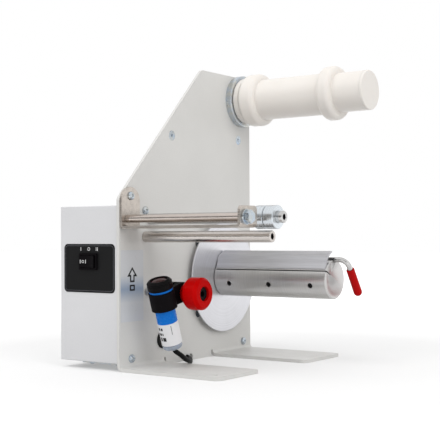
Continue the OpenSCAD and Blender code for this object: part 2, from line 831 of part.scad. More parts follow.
module collar(x, w) {
    r = collar_d / 2;
    at(shaft_at, x) difference() {
        turned() polygon([
            [0, 0], [r - 0.5, 0], [r, 0.5], [r, w - 0.5], [r - 0.5, w], [0, w]
        ]);
        translate([-1, 0, 0]) bar(bar_d + 2 * fit, w + 2);
        translate([w / 2, 0, 0]) cylinder(d = grub_d + 0.1, h = collar_d);
    }
}

module collar_screw(x, w) {
    at(shaft_at, x + w / 2) translate([0, 0, bar_d / 2 + fit]) difference() {
        cylinder(d = grub_d, h = (collar_d - bar_d) / 2 - 1.2);
        translate([0, 0, (collar_d - bar_d) / 2 - 3]) cylinder(d = grub_d * 0.55, h = 3, $fn = 6);
    }
}

module inner_collar() {
    color([0.78, 0.79, 0.82]) place() collar(inner_collar_x, inner_collar_w);
}

module inner_collar_screw() {
    color([0.25, 0.25, 0.27]) place() collar_screw(inner_collar_x, inner_collar_w);
}

module outer_collar() {
    color([0.82, 0.83, 0.86]) place() collar(outer_collar_x, outer_collar_w);
}

module outer_collar_screw() {
    color([0.25, 0.25, 0.27]) place() collar_screw(outer_collar_x, outer_collar_w);
}

// ---- Screws and nuts of the frame ----

module button_screws() {
    color([0.76, 0.77, 0.79]) place() {
        for (p = cover_screws_at) at(p) dome_screw(m4, plate_t + cover_t + burr_l + 1);
        at(arch_screw_at, bracket_t) dome_screw(m4, bracket_t + plate_t + m4[2] + 2);
        for (p = standoff_at) at(p, bracket2_x) mirror([1, 0, 0]) dome_screw(m4, 8);
    }
}

module small_screws() {
    color([0.70, 0.71, 0.73]) place() {
        for (p = bearing_screws_at) {
            at(p, -plate_t - housing_flange_t) mirror([1, 0, 0]) dome_screw(m3, housing_flange_t + 2);
            at(p, bracket2_x) mirror([1, 0, 0]) dome_screw(m3, bracket2_t + housing_flange_t);
        }
        for (p = motor_screws_at) at(p, bracket2_x) mirror([1, 0, 0]) dome_screw(m3, bracket2_t + 4);
        for (p = board_studs_at) at(p, board_x + board_t) dome_screw(m3, 6);
        for (p = service_screws_at)
            translate([p[0], p[1], cover_bottom_z - service_t]) rotate([0, 90, 0]) dome_screw(m3, 4);
    }
}

module countersunk_screws() {
    color([0.74, 0.75, 0.77]) place() for (p = standoff_at) at(p) flush_screw(m4, plate_t + 8);
}

module accessory_screws() {
    color([0.70, 0.73, 0.76]) place() for (p = accessory_at) at(p) flush_screw(m5, plate_t + m5_nut[1] + 2);
}

module frame_nuts() {
    color([0.74, 0.75, 0.77]) place() {
        for (p = accessory_at) at(p, -plate_t - m5_nut[1]) nut(m5_nut, m5[0] + 0.05);
        at(roller_at, -plate_t - m6_nut[1]) nut(m6_nut, peel_bolt_d + 0.05);
        at(supply_at, -plate_t - m8_nut[1]) nut(m8_nut, axle_thread_d + 0.05);
        at(arch_screw_at, -plate_t - m4[2]) nut([7, m4[2]], m4[0] + 0.05);
    }
}

module shaft_screws() {
    color([0.70, 0.71, 0.73]) place() for (p = [shaft_at, lower_bar_at, post_at])
        at(p, -plate_t) mirror([1, 0, 0]) flush_screw(m5, plate_t + 8);
}

// ---- Supply hub ----

module supply_disc() {
    color([0.62, 0.66, 0.70]) place() at(supply_at) difference() {
        turned() polygon([
            [0, 0], [disc_d / 2, 0], [disc_d / 2, disc_t - 0.6], [disc_d / 2 - 0.6, disc_t], [0, disc_t]
        ]);
        translate([-1, 0, 0]) bar(axle_d + 0.1, disc_t + 2);
    }
}

module supply_axle() {
    color([0.72, 0.73, 0.75]) place() at(supply_at) difference() {
        turned() polygon([
            [0, -plate_t - m8_nut[1] - 3], [axle_thread_d / 2, -plate_t - m8_nut[1] - 3],
            [axle_thread_d / 2, 0], [axle_d / 2, 0], [axle_d / 2, axle_end_x], [0, axle_end_x]
        ]);
        translate([axle_end_x - 12, 0, 0]) bar(m5[0] + 0.1, 13);
    }
}

module axle_retainer() {
    color([0.70, 0.71, 0.73]) place() at(supply_at, axle_end_x) {
        difference() {
            bar(retainer_d, 1.5);
            translate([-1, 0, 0]) bar(m5[0] + 0.2, 4);
        }
        translate([1.5, 0, 0]) dome_screw(m5, 10);
    }
}

// Rounded ring on the hub, as the part of its profile between two places on X
function ring_profile(span) =
    let (r = ring_d / 2, e = ring_edge_r)
    concat(
        [for (i = [0:arc_steps]) [r - e + e * sin(90 * i / arc_steps), span[0] + e - e * cos(90 * i / arc_steps)]],
        [for (i = [0:arc_steps]) [r - e + e * cos(90 * i / arc_steps), span[1] - e + e * sin(90 * i / arc_steps)]]
    );

module supply_hub() {
    root_r = hub_root_d / 2;
    r = hub_d / 2;
    end_r = hub_end_d / 2;
    bore_end = axle_end_x - seat;
    color([0.93, 0.93, 0.94]) place() at(supply_at) difference() {
        turned() polygon(concat(
            [[0, hub_x], [root_r, hub_x], [root_r, ring1_x[0]]],
            ring_profile(ring1_x),
            [[r, ring1_x[1]], [r, ring2_x[0]]],
            ring_profile(ring2_x),
            [[end_r, ring2_x[1]], [end_r, hub_end_x - cap_t], [0, hub_end_x - cap_t]]
        ));
        translate([-1, 0, 0]) bar(axle_d + 2 * fit, bore_end + 2);
        translate([bore_end, 0, 0]) bar(cap_plug_d, hub_end_x);
    }
}

module hub_end_cap() {
    r = hub_end_d / 2;
    x0 = hub_end_x - cap_t;
    color([0.90, 0.90, 0.90]) place() at(supply_at) turned() polygon([
        [0, x0 - 3], [cap_plug_d / 2 - 0.05, x0 - 3], [cap_plug_d / 2 - 0.05, x0], [r, x0],
        [r, hub_end_x - 1.2], [r - 0.35, hub_end_x - 0.35], [r - 1.2, hub_end_x], [0, hub_end_x]
    ]);
}

// ---- Rewind mandrel ----

module rewind_flange() {
    color([0.80, 0.81, 0.83]) place() at(spindle_at, flange_x) difference() {
        union() {
            bar(flange_d, flange_t);
            bar(flange_boss_d, mandrel_x - flange_x);
            translate([flange_rear_gap - flange_x, 0, 0]) bar(flange_rear_d, flange_x - flange_rear_gap);
        }
        translate([-flange_x, 0, 0]) bar(spindle_d, far);
    }
}

module rewind_spindle() {
    color([0.62, 0.63, 0.65]) place() at(spindle_at) difference() {
        translate([spindle_x0, 0, 0]) bar(spindle_d, spindle_x1 - spindle_x0);
        translate([clip_x, 0, 0]) difference() {
            bar(spindle_d + 2, 1);
            translate([-1, 0, 0]) bar(spindle_d - 1.2, 3);
        }
    }
}

module spindle_clip() {
    color([0.35, 0.35, 0.37]) place() at(spindle_at, clip_x) difference() {
        bar(spindle_d + 5, 1);
        translate([-1, 0, 0]) bar(spindle_d - 1.2, 3);
        translate([-1, -2, -far]) cube([3, 4, far]);
    }
}

// Direction from the jaw's outer line towards its inner side
function inward(a, b) = let (d = (b - a) / norm(b - a)) [d[1], -d[0]];

// The jaw's outer line moved inwards by t, with mitred corners
function moved_line(line, t) =
    let (
        n = len(line) - 1,
        side = [for (i = [0:n - 1]) inward(line[i], line[i + 1])]
    )
    [
        for (i = [0:n])
            i == 0 ? line[0] + t * side[0]
            : i == n ? line[n] + t * side[n - 1]
            : line[i] + t * (side[i - 1] + side[i]) / (1 + side[i - 1] * side[i])
    ];

// Section of the bent jaw sheet
module jaw_section() {
    inner = moved_line(jaw_line, jaw_t);
    n = len(jaw_line) - 1;
    polygon(rounded(concat(
        [for (i = [0:n]) [jaw_line[i][0], jaw_line[i][1], i == 0 || i == n ? 0 : jaw_bend_r + jaw_t]],
        [for (i = [n:-1:0]) [inner[i][0], inner[i][1], i == 0 || i == n ? 0 : jaw_bend_r]]
    )));
}

// Section of the slot under the jaw's lower leg, open to the outside
module slot_section() {
    d = (jaw_line[1] - jaw_line[0]) / norm(jaw_line[1] - jaw_line[0]);
    down = -liner_slot * inward(jaw_line[0], jaw_line[1]);
    out = jaw_line[0] + mandrel_d / 2 * d;
    polygon([jaw_line[0], out, out + down, jaw_line[0] + down]);
}

module mandrel_body() {
    r = mandrel_d / 2;
    c = mandrel_chamfer;
    color([0.74, 0.74, 0.75]) place() at(spindle_at) difference() {
        turned() polygon([
            [0, mandrel_x], [r, mandrel_x], [r, mandrel_end_x - c], [r - c, mandrel_end_x], [0, mandrel_end_x]
        ]);
        translate([jaw_x0, 0, 0]) plate_yz(jaw_x1 - jaw_x0) jaw_section();
        translate([jaw_x0, 0, 0]) plate_yz(far) slot_section();
        translate([mandrel_x - 1, 0, 0]) bar(spindle_d, spindle_x1 - mandrel_x + 2);
        translate([rod_x0 - 1, rod_off[0], rod_off[1]]) bar(channel_d, far);
        for (x = set_xs) translate([x, 0, 0]) rotate([set_angle, 0, 0]) rotate([90, 0, 0])
            cylinder(d = set_hole_d, h = mandrel_d);
    }
}

module mandrel_jaw() {
    color([0.60, 0.60, 0.61]) place() at(spindle_at, jaw_x0) plate_yz(jaw_x1 - jaw_x0) jaw_section();
}

module mandrel_set_screws() {
    color([0.18, 0.18, 0.19]) place() at(spindle_at) for (x = set_xs)
        translate([x, 0, 0]) rotate([set_angle, 0, 0]) rotate([90, 0, 0])
            translate([0, 0, spindle_d / 2]) difference() {
                cylinder(d = set_hole_d - 0.1, h = set_screw_l);
                translate([0, 0, set_screw_l - 3]) cylinder(d = set_hole_d * 0.5, h = 4, $fn = 6);
            }
}

module liner_rod() {
    lean_dir = 90 - rod_lean;
    color([0.80, 0.79, 0.78]) place() at(spindle_at) translate([0, rod_off[0], rod_off[1]]) {
        translate([rod_x0, 0, 0]) bar(rod_d, rod_x1 - rod_bend_r - rod_x0);
        rotate([lean_dir, 0, 0]) {
            translate([rod_x1 - rod_bend_r, 0, -rod_bend_r]) rotate([90, 0, 0])
                rotate_extrude(angle = 90) translate([rod_bend_r, 0]) circle(d = rod_d);
            translate([rod_x1, 0, -rod_bend_r - grip_gap - grip_l + grip_d / 2])
                cylinder(d = rod_d, h = grip_gap + grip_l - grip_d / 2);
        }
    }
}

module rod_grip() {
    lean_dir = 90 - rod_lean;
    r = grip_d / 2;
    color([0.72, 0.07, 0.07]) place() at(spindle_at) translate([0, rod_off[0], rod_off[1]])
        rotate([lean_dir, 0, 0]) translate([rod_x1, 0, -rod_bend_r - grip_gap]) difference() {
            mirror([0, 0, 1]) rotate_extrude() polygon(concat(
                [[0, 0], [r - 0.6, 0], [r, 0.6]],
                [for (i = [0:arc_steps]) [r * cos(90 * i / arc_steps), grip_l - r + r * sin(90 * i / arc_steps)]]
            ));
            translate([0, 0, -grip_l + r]) cylinder(d = rod_d, h = grip_l);
        }
}

// ---- Gears ----

// Involute function of a radius on a base circle, in degrees
function involute(r, base) = let (t = sqrt(max((r / base) * (r / base) - 1, 0))) t * 180 / PI - atan(t);

// Outline of a gear with a tooth in the middle of its first pitch
function gear_outline(teeth) =
    let (
        pitch_r = gear_module * teeth / 2,
        base_r = pitch_r * cos(pressure_angle),
        tip_r = pitch_r + gear_module,
        root_r = pitch_r - 1.25 * gear_module,
        start_r = max(base_r, root_r + 0.1),
        half = 90 / teeth + involute(pitch_r, base_r) - tooth_play / pitch_r * 180 / PI / 2,
        radii = [for (i = [0:flank_steps]) start_r + (tip_r - start_r) * i / flank_steps]
    )
    [
        for (k = [0:teeth - 1])
            let (mid = 360 * k / teeth, root_half = half - involute(start_r, base_r) + 20 / teeth)
            each concat(
                [root_r * [cos(mid - root_half), sin(mid - root_half)]],
                [for (r = radii) let (a = mid - half + involute(r, base_r)) r * [cos(a), sin(a)]],
                [
                    for (i = [0:flank_steps])
                        let (r = radii[flank_steps - i], a = mid + half - involute(r, base_r))
                        r * [cos(a), sin(a)]
                ],
                [root_r * [cos(mid + root_half), sin(mid + root_half)]]
            )
    ];

module drive_gear() {
    web_r = gear_module * gear_teeth / 2 - 5.5;
    color([0.88, 0.86, 0.78]) place() at(spindle_at, gear_x) difference() {
        plate_yz(gear_w) polygon(gear_outline(gear_teeth));
        translate([-1, 0, 0]) difference() {
            bar(2 * web_r, 3);
            bar(24, 3);
        }
        translate([-1, 0, 0]) bar(spindle_d, gear_w + 2);
        for (a = [0:60:300]) rotate([a, 0, 0]) translate([-1, 18, 0]) bar(8, gear_w + 2);
    }
}

module motor_pinion() {
    color([0.75, 0.66, 0.42]) place() at(motor_at, gear_x) difference() {
        union() {
            rotate([180 / pinion_teeth, 0, 0]) plate_yz(gear_w) polygon(gear_outline(pinion_teeth));
            translate([gear_w, 0, 0]) bar(13, 2);
        }
        translate([-1, 0, 0]) bar(motor_shaft_d, gear_w + 4);
    }
}

module motor_shaft() {
    x1 = bracket2_x + bracket2_t + gearbox_l / 2;
    color([0.72, 0.73, 0.75]) place() at(motor_at, gear_x - 1) bar(motor_shaft_d, x1 - gear_x + 1);
}

// ---- Drive frame ----

module bearing_housing() {
    difference() {
        union() {
            bar(housing_flange_d, housing_flange_t);
            bar(housing_d, housing_l);
        }
        translate([-1, 0, 0]) bar(bearing_inner_d + 4, far);
        translate([housing_l - bearing_w, 0, 0]) bar(bearing_od, far);
        for (a = [90, 210, 330]) rotate([a, 0, 0]) translate([-1, 20, 0]) bar(m3[0] + 0.2, far);
    }
}

module bearing_housings() {
    color([0.55, 0.56, 0.58]) place() {
        at(spindle_at, -plate_t) mirror([1, 0, 0]) bearing_housing();
        at(spindle_at, bracket2_x + bracket2_t) bearing_housing();
    }
}

bearing_xs = [-plate_t - housing_l, bracket2_x + bracket2_t + housing_l - bearing_w];

module bearing_outer_rings() {
    color([0.80, 0.80, 0.82]) place() for (x = bearing_xs) at(spindle_at, x) difference() {
        bar(bearing_od, bearing_w);
        translate([-1, 0, 0]) bar(bearing_inner_d + 2 * fit, bearing_w + 2);
    }
}

module bearing_inner_rings() {
    color([0.78, 0.78, 0.80]) place() for (x = bearing_xs) at(spindle_at, x) difference() {
        bar(bearing_inner_d, bearing_w);
        translate([-1, 0, 0]) bar(spindle_d, bearing_w + 2);
    }
}

module motor_bracket() {
    lo = [min(motor_at[0] - gearbox_d / 2, standoff_at[0][0] - standoff_d) - bracket2_edge, standoff_at[0][1] - standoff_d];
    hi = [standoff_at[3][0] + standoff_d, standoff_at[3][1] + standoff_d];
    color([0.70, 0.71, 0.73]) place() difference() {
        at(lo, bracket2_x) plate_yz(bracket2_t) round_rect(hi - lo, 6);
        at(spindle_at, bracket2_x - 1) bar(bearing_inner_d + 4, bracket2_t + 2);
        at(motor_at, bracket2_x - 1) bar(gearbox_boss_d + 1, bracket2_t + 2);
        for (p = standoff_at) at(p, bracket2_x - 1) bar(m4[0] + 0.2, bracket2_t + 2);
        for (p = concat(motor_screws_at, bearing_screws_at)) at(p, bracket2_x - 1) bar(m3[0] + 0.1, bracket2_t + 2);
        for (z = [-1, 1]) at(spindle_at + [6, z * 34], bracket2_x - 1) bar(10, bracket2_t + 2);
    }
}

module standoffs() {
    x0 = bracket2_x + bracket2_t;
    color([0.78, 0.74, 0.60]) place() for (p = standoff_at) at(p, x0) difference() {
        hex_bar(standoff_d, -plate_t - x0);
        translate([-1, 0, 0]) bar(m4[0] + 0.1, 9);
        translate([-plate_t - x0 - 9, 0, 0]) bar(m4[0] + 0.1, 10);
    }
}

module gearbox() {
    x0 = bracket2_x + bracket2_t;
    color([0.60, 0.61, 0.63]) place() at(motor_at, x0) difference() {
        union() {
            bar(gearbox_d, gearbox_l);
            translate([-bracket2_t, 0, 0]) bar(gearbox_boss_d, bracket2_t);
        }
        translate([-bracket2_t - 1, 0, 0]) bar(motor_shaft_d + 2 * fit, bracket2_t + gearbox_l / 2 + 2);
        for (a = [90, 210, 330]) rotate([a, 0, 0]) translate([-1, motor_screw_r, 0]) bar(m3[0] + 0.1, gearbox_hole_l);
    }
}

module motor_can() {
    x0 = bracket2_x + bracket2_t + gearbox_l;
    color([0.45, 0.46, 0.48]) place() at(motor_at, x0) difference() {
        turned() polygon([
            [0, 0], [motor_d / 2, 0], [motor_d / 2, motor_l - 1.5], [motor_d / 2 - 1.5, motor_l], [0, motor_l]
        ]);
        for (a = [0, 180]) rotate([a, 0, 0]) translate([motor_l - 4, 8, -2]) cube([5, 4, 4]);
    }
}

// ---- Label sensor ----

// Frame of the clamp: the stud is its X axis, the sensor's axis stands at y = -clamp_reach
module clamp_frame() at(post_at, sensor_x) rotate([sensor_lean, 0, 0]) children();

// Frame of the sensor: Z runs up its axis from the middle of the clamp ring
module sensor_frame() clamp_frame() translate([0, -clamp_reach, ring_off]) children();

module sensor_post() {
    color([0.74, 0.74, 0.75]) place() at(post_at) difference() {
        bar(post_d, post_l);
        translate([-1, 0, 0]) bar(m5[0] + 0.1, 11);
        translate([post_l - 8, 0, 0]) bar(stud_d - 1, 9);
    }
}

module sensor_stud() {
    x1 = post_l + ear_w + knob_l - knob_recess_l - 0.5;
    color([0.55, 0.56, 0.58]) place() at(post_at) {
        translate([post_l, 0, 0]) bar(stud_d, x1 - post_l);
        translate([post_l - 8, 0, 0]) bar(stud_d - 1, 8);
    }
}

module sensor_clamp() {
    h = clamp_h;
    color([0.08, 0.08, 0.09]) place() clamp_frame() difference() {
        union() {
            translate([0, -clamp_reach, ring_off - h / 2]) cylinder(r = ring_r, h = h);
            translate([-ear_w / 2, 0, 0]) plate_yz(ear_w) {
                translate([0, ear_rise]) circle(ear_end_r);
                polygon([
                    [-clamp_reach + ring_r * 0.7, ring_off - h / 2], [0, ear_rise - ear_end_r],
                    [0, ear_rise + ear_end_r], [-clamp_reach + ring_r * 0.7, ring_off + h / 2]
                ]);
            }
        }
        translate([0, -clamp_reach, -far / 2]) cylinder(d = sensor_d + 0.1, h = far);
        translate([-ear_slit / 2, -clamp_reach, -far / 2]) cube([ear_slit, far, far]);
        translate([-ear_w, 0, 0]) bar(stud_d + 2 * fit, 2 * ear_w);
    }
}

module sensor_barrel() {
    h = clamp_h / 2;
    color([0.10, 0.38, 0.75]) place() sensor_frame() {
        translate([0, 0, -h - sensor_tail]) cylinder(d = sensor_d, h = 2 * h + sensor_tail);
        translate([0, 0, h]) cylinder(d = flange_ring_d, h = flange_ring_h);
    }
}

module sensor_head() {
    z0 = clamp_h / 2 + flange_ring_h;
    r = head_d / 2;
    color([0.07, 0.07, 0.07]) place() sensor_frame() translate([0, 0, z0]) difference() {
        rotate_extrude() polygon([
            [0, 0], [r - 0.8, 0], [r, 0.8], [r, head_h - 2.6], [r - 0.8, head_h - 0.9], [r - 2.4, head_h], [0, head_h]
        ]);
        translate([0, 0, head_h - 3]) cylinder(d = lens_d, h = 4);
    }
}

module sensor_lens() {
    z0 = clamp_h / 2 + flange_ring_h + head_h - 3;
    r = lens_d / 2 - 0.05;
    color([0.35, 0.05, 0.06]) place() sensor_frame() translate([0, 0, z0]) rotate_extrude() polygon(concat(
        [[0, 0], [r, 0], [r, 1.2]],
        [for (i = [1:arc_steps]) [r * cos(90 * i / arc_steps), 1.2 + 1.5 * sin(90 * i / arc_steps)]]
    ));
}

module sensor_end_cap() {
    z0 = -clamp_h / 2 - sensor_tail;
    r = sensor_d / 2;
    color([0.80, 0.82, 0.85]) place() sensor_frame() {
        translate([0, 0, z0 - end_cap_h]) rotate_extrude() polygon([
            [0, 0], [r - 2.5, 0], [r - 0.9, 0.8], [r - 0.2, 2.4], [r - 0.2, end_cap_h], [0, end_cap_h]
        ]);
        translate([0, 0, z0 - end_cap_h + 3]) rotate([-90 - gland_turn, 0, 0]) cylinder(d = gland_d, h = gland_l);
    }
}

module sensor_knob() {
    r = knob_d / 2;
    e = knob_edge;
    color([0.82, 0.06, 0.06]) place() at(post_at, post_l + ear_w) difference() {
        turned() polygon(rounded([
            [0, 0, 0], [knob_neck_d / 2, 0, 0], [knob_shoulder[0], knob_shoulder[1], 0.5],
            [r, knob_cone_l, 2], [r, knob_l - e, 1], [r - e, knob_l, 1], [0, knob_l, 0]
        ]));
        translate([-1, 0, 0]) bar(stud_d + 2 * fit, far);
        translate([knob_l - knob_recess_l, 0, 0]) bar(knob_recess_d, far);
    }
}

module knob_insert() {
    l = knob_recess_l - insert_set_back;
    color([0.07, 0.07, 0.07]) place() at(post_at, post_l + ear_w + knob_l - knob_recess_l) difference() {
        bar(knob_recess_d - insert_gap, l);
        translate([l - insert_socket[1], 0, 0]) hex_bar(insert_socket[0], insert_socket[1] + 1);
    }
}

// ---- Cable ----

// Directions of a swept tube at each point of its route
function tangents(route) = let (n = len(route)) [
    for (i = [0:n - 1])
        let (t = route[min(i + 1, n - 1)] - route[max(i - 1, 0)])
        t / norm(t)
];

// Sideways direction of each ring, carried along so that the tube doesn't twist
function carried(t, i, side) =
    i >= len(t) ? [] :
    let (s = side - (side * t[i]) * t[i], u = s / norm(s))
    concat([u], carried(t, i + 1, u));

module tube(route, d, sides) {
    t = tangents(route);
    u = carried(t, 0, [1, 0, 0.3]);
    n = len(route);
    points = [
        for (i = [0:n - 1], k = [0:sides - 1])
            let (a = 360 * k / sides, v = cross(t[i], u[i]))
            route[i] + d / 2 * (cos(a) * u[i] + sin(a) * v)
    ];
    faces = concat(
        [[for (k = [sides - 1:-1:0]) k]],
        [[for (k = [0:sides - 1]) (n - 1) * sides + k]],
        [
            for (i = [0:n - 2], k = [0:sides - 1])
                let (a = i * sides + k, b = i * sides + (k + 1) % sides)
                each [[a, b, b + sides], [a, b + sides, a + sides]]
        ]
    );
    polyhedron(points = points, faces = [for (f = faces) [for (j = [len(f) - 1:-1:0]) f[j]]]);
}

module sensor_cable() {
    color([0.05, 0.05, 0.05]) place() tube(cable_route, cable_d, cable_sides);
}

frame_plate();
drive_cover();
service_plate();
control_decal();
direction_plate();
button_screws();
small_screws();
countersunk_screws();
accessory_screws();
frame_nuts();
blanking_plug();
peel_bracket();
peel_bolt();
peel_washer();
peel_roller();
guide_shaft();
lower_guide_bar();
shaft_screws();
inner_collar();
inner_collar_screw();
outer_collar();
outer_collar_screw();
supply_disc();
supply_axle();
axle_retainer();
supply_hub();
hub_end_cap();
rewind_flange();
rewind_spindle();
mandrel_body();
mandrel_jaw();
mandrel_set_screws();
liner_rod();
rod_grip();
drive_gear();
spindle_clip();
bearing_inner_rings();
bearing_outer_rings();
bearing_housings();
motor_bracket();
standoffs();
gearbox();
motor_can();
motor_shaft();
motor_pinion();
control_board();
board_parts();
power_inlet();
switch_body();
switch_rocker();
sensor_post();
sensor_stud();
sensor_clamp();
sensor_barrel();
sensor_head();
sensor_lens();
sensor_end_cap();
sensor_knob();
knob_insert();
cable_grommet();
sensor_cable();
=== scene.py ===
"""Desk label dispenser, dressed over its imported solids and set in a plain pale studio."""
import json
import logging
import math
from collections.abc import Sequence
from dataclasses import dataclass, field
from enum import Enum

import bmesh
import bpy
from mathutils import Matrix, Vector


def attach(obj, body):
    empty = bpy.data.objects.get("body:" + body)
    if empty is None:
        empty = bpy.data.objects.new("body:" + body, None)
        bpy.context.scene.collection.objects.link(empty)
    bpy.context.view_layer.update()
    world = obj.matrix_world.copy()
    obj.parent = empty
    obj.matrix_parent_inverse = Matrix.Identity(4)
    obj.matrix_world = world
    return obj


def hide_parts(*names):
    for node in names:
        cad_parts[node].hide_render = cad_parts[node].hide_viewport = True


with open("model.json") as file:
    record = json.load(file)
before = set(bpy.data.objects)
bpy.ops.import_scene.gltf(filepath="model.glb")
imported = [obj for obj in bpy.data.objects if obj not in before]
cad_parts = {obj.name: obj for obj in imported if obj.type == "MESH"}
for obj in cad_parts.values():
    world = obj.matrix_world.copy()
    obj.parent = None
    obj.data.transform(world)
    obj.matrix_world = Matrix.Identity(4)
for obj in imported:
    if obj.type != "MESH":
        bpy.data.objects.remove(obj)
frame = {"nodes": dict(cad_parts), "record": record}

LOG = logging.getLogger("label_dispenser")
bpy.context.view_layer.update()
ORIGIN = Vector((39.0, 107.025, 0.0))
MM = 0.001
OUT = Vector((1.0, 0.0, 0.0))
DEEP = Vector((0.0, 1.0, 0.0))
UP = Vector((0.0, 0.0, 1.0))
SHAFT_AT = (42.9, 134.4)
MANDREL_AT = (152.3, 77.8)
STUD_AT = (38.3, 68.3)

Colour = tuple[float, float, float]
Pair = tuple[float, float]


def bench(x: float, y: float, z: float) -> Vector:
    """Turns a bench position in millimetres, counted from the plate's corner, into metres from the origin."""
    return (Vector((x, y, z)) - ORIGIN) * MM


def tone(red: int, green: int, blue: int) -> Colour:
    """Turns a display colour of 0 to 255 into the linear values that a shader takes."""

    def linear(level: int) -> float:
        share = level / 255
        return share / 12.92 if share <= 0.04045 else ((share + 0.055) / 1.055) ** 2.4

    return linear(red), linear(green), linear(blue)


def shade(colour: Colour, factor: float) -> Colour:
    """Makes a colour lighter or darker by a factor, and keeps it under white."""
    return tuple(min(level * factor, 1.0) for level in colour)


class Grain(Enum):
    """Ways in which a surface was brushed or drawn, as the stretch of its fine lines."""

    ALONG_SHAFTS = (0.02, 1.0, 1.0)


# ---- Finishes ----


class ShaderTree:
    """One material's nodes, with a principled shader already joined to the output."""

    def __init__(self, name: str) -> None:
        """Makes the empty material.

        Args:
            name: The material's name.
        """
        self.material = bpy.data.materials.new(name)
        self.material.use_nodes = True
        self.tree = self.material.node_tree
        self.tree.nodes.clear()
        output = self.node("ShaderNodeOutputMaterial")
        self.shader = self.node("ShaderNodeBsdfPrincipled")
        self.tree.links.new(self.shader.outputs["BSDF"], output.inputs["Surface"])
        self.coords = self.node("ShaderNodeTexCoord").outputs["Object"]

    def node(self, kind: str, inputs: dict | None = None, **settings: object) -> bpy.types.ShaderNode:
        """Adds a node.

        Args:
            kind: Blender's name of the node.
            inputs: Values or output sockets for its input sockets, by name or number.
            settings: Properties of the node.

        Returns:
            The new node.
        """
        made = self.tree.nodes.new(kind)
        for key, value in settings.items():
            setattr(made, key, value)
        for key, value in (inputs or {}).items():
            if isinstance(value, bpy.types.NodeSocket):
                self.tree.links.new(value, made.inputs[key])
            else:
                made.inputs[key].default_value = value
        return made

    def mapped(self, scale: Colour, centre: Vector | None = None) -> bpy.types.NodeSocket:
        """Object coordinates moved to a centre and stretched.

        Args:
            scale: Stretch along each axis.
            centre: The point that becomes zero, in metres.

        Returns:
            The vector socket.
        """
        shift = [-(centre[i] if centre else 0.0) * scale[i] for i in range(3)]
        return self.node(
            "ShaderNodeMapping", {"Vector": self.coords, "Location": shift, "Scale": scale}
        ).outputs[0]

    def noise(
        self, scale: float, detail: float = 2.0, vector: bpy.types.NodeSocket | None = None
    ) -> bpy.types.NodeSocket:
        """Noise of about 1 / scale metres.

        Args:
            scale: Features per metre.
            detail: Octaves.
            vector: Coordinates, or None for the object's own.

        Returns:
            The factor socket.
        """
        return self.node(
            "ShaderNodeTexNoise", {"Vector": vector or self.coords, "Scale": scale, "Detail": detail}
        ).outputs[0]

    def ranged(
        self, value: bpy.types.NodeSocket, low: float, high: float, start: float = 0.3, end: float = 0.7
    ) -> bpy.types.NodeSocket:
        """Spreads a factor over a range.

        Args:
            value: The factor.
            low: Result at start.
            high: Result at end.
            start: Factor that gives low.
            end: Factor that gives high.

        Returns:
            The result socket.
        """
        return self.node(
            "ShaderNodeMapRange",
            {"Value": value, "From Min": start, "From Max": end, "To Min": low, "To Max": high},
        ).outputs[0]

    def reckon(self, operation: str, *values: object) -> bpy.types.NodeSocket:
        """Works out one sum of values or sockets and gives its socket."""
        return self.node("ShaderNodeMath", dict(enumerate(values)), operation=operation).outputs[0]

    def mixed(self, factor: bpy.types.NodeSocket, first: Colour, second: Colour) -> bpy.types.NodeSocket:
        """Mixes two colours by a factor and gives the colour socket."""
        return self.node(
            "ShaderNodeMix", {0: factor, 6: (*first, 1.0), 7: (*second, 1.0)}, data_type="RGBA"
        ).outputs[2]

    def relief(self, height: bpy.types.NodeSocket, depth: float, edge: float) -> None:
        """Gives the surface a bump over softened edges.

        Args:
            height: The height factor.
            depth: Height of the relief in metres.
            edge: Radius of the softened edges in metres.
        """
        soft = self.node("ShaderNodeBevel", {"Radius": edge}, samples=4)
        bump = self.node(
            "ShaderNodeBump",
            {"Height": height, "Distance": depth, "Strength": 1.0, "Normal": soft.outputs[0]}
        )
        self.tree.links.new(bump.outputs[0], self.shader.inputs["Normal"])

    def surface(self, **values: object) -> None:
        """Sets or links the shader's sockets, with underscores for the spaces in their names."""
        for key, value in values.items():
            socket = self.shader.inputs[key.replace("_", " ")]
            if isinstance(value, bpy.types.NodeSocket):
                self.tree.links.new(value, socket)
            else:
                socket.default_value = value


@dataclass(frozen=True)
class Finish:
    """Base of every finish: a name, a colour, a roughness and the radius of its softened edges."""

    name: str
    colour: Colour
    roughness: float = 0.4
    edge: float = 0.00035

    def make(self) -> bpy.types.Material:
        """Gives the material, built the first time it is asked for."""
        label = f"{self.name}_finish"
        known = bpy.data.materials.get(label)
        if known:
            return known
        tree = ShaderTree(label)
        self.dress(tree)
        tree.material.diffuse_color = (*self.colour, 1.0)
        return tree.material

    def dress(self, tree: ShaderTree) -> None:
        """Sets up the nodes; each finish has its own."""
        raise NotImplementedError


@dataclass(frozen=True)
class PowderCoat(Finish):
    """Baked paint with a faint orange peel and a few paler and darker clouds."""

    peel: float = 1100.0
    depth: float = 0.000035

    def dress(self, tree: ShaderTree) -> None:
        """Builds the paint."""
        clouds = tree.noise(16.0, 3.0)
        specks = tree.noise(self.peel * 2.2, 1.0)
        both = tree.reckon("ADD", clouds, specks)
        tree.surface(
            Base_Color=tree.mixed(
                tree.ranged(both, 0.0, 1.0, 0.7, 1.3), shade(self.colour, 0.955), shade(self.colour, 1.03)
            ),
            Roughness=tree.ranged(tree.noise(90.0, 3.0), self.roughness - 0.06, self.roughness + 0.07),
            Specular_IOR_Level=0.45,
        )
        tree.relief(tree.noise(self.peel, 2.0), self.depth, self.edge)


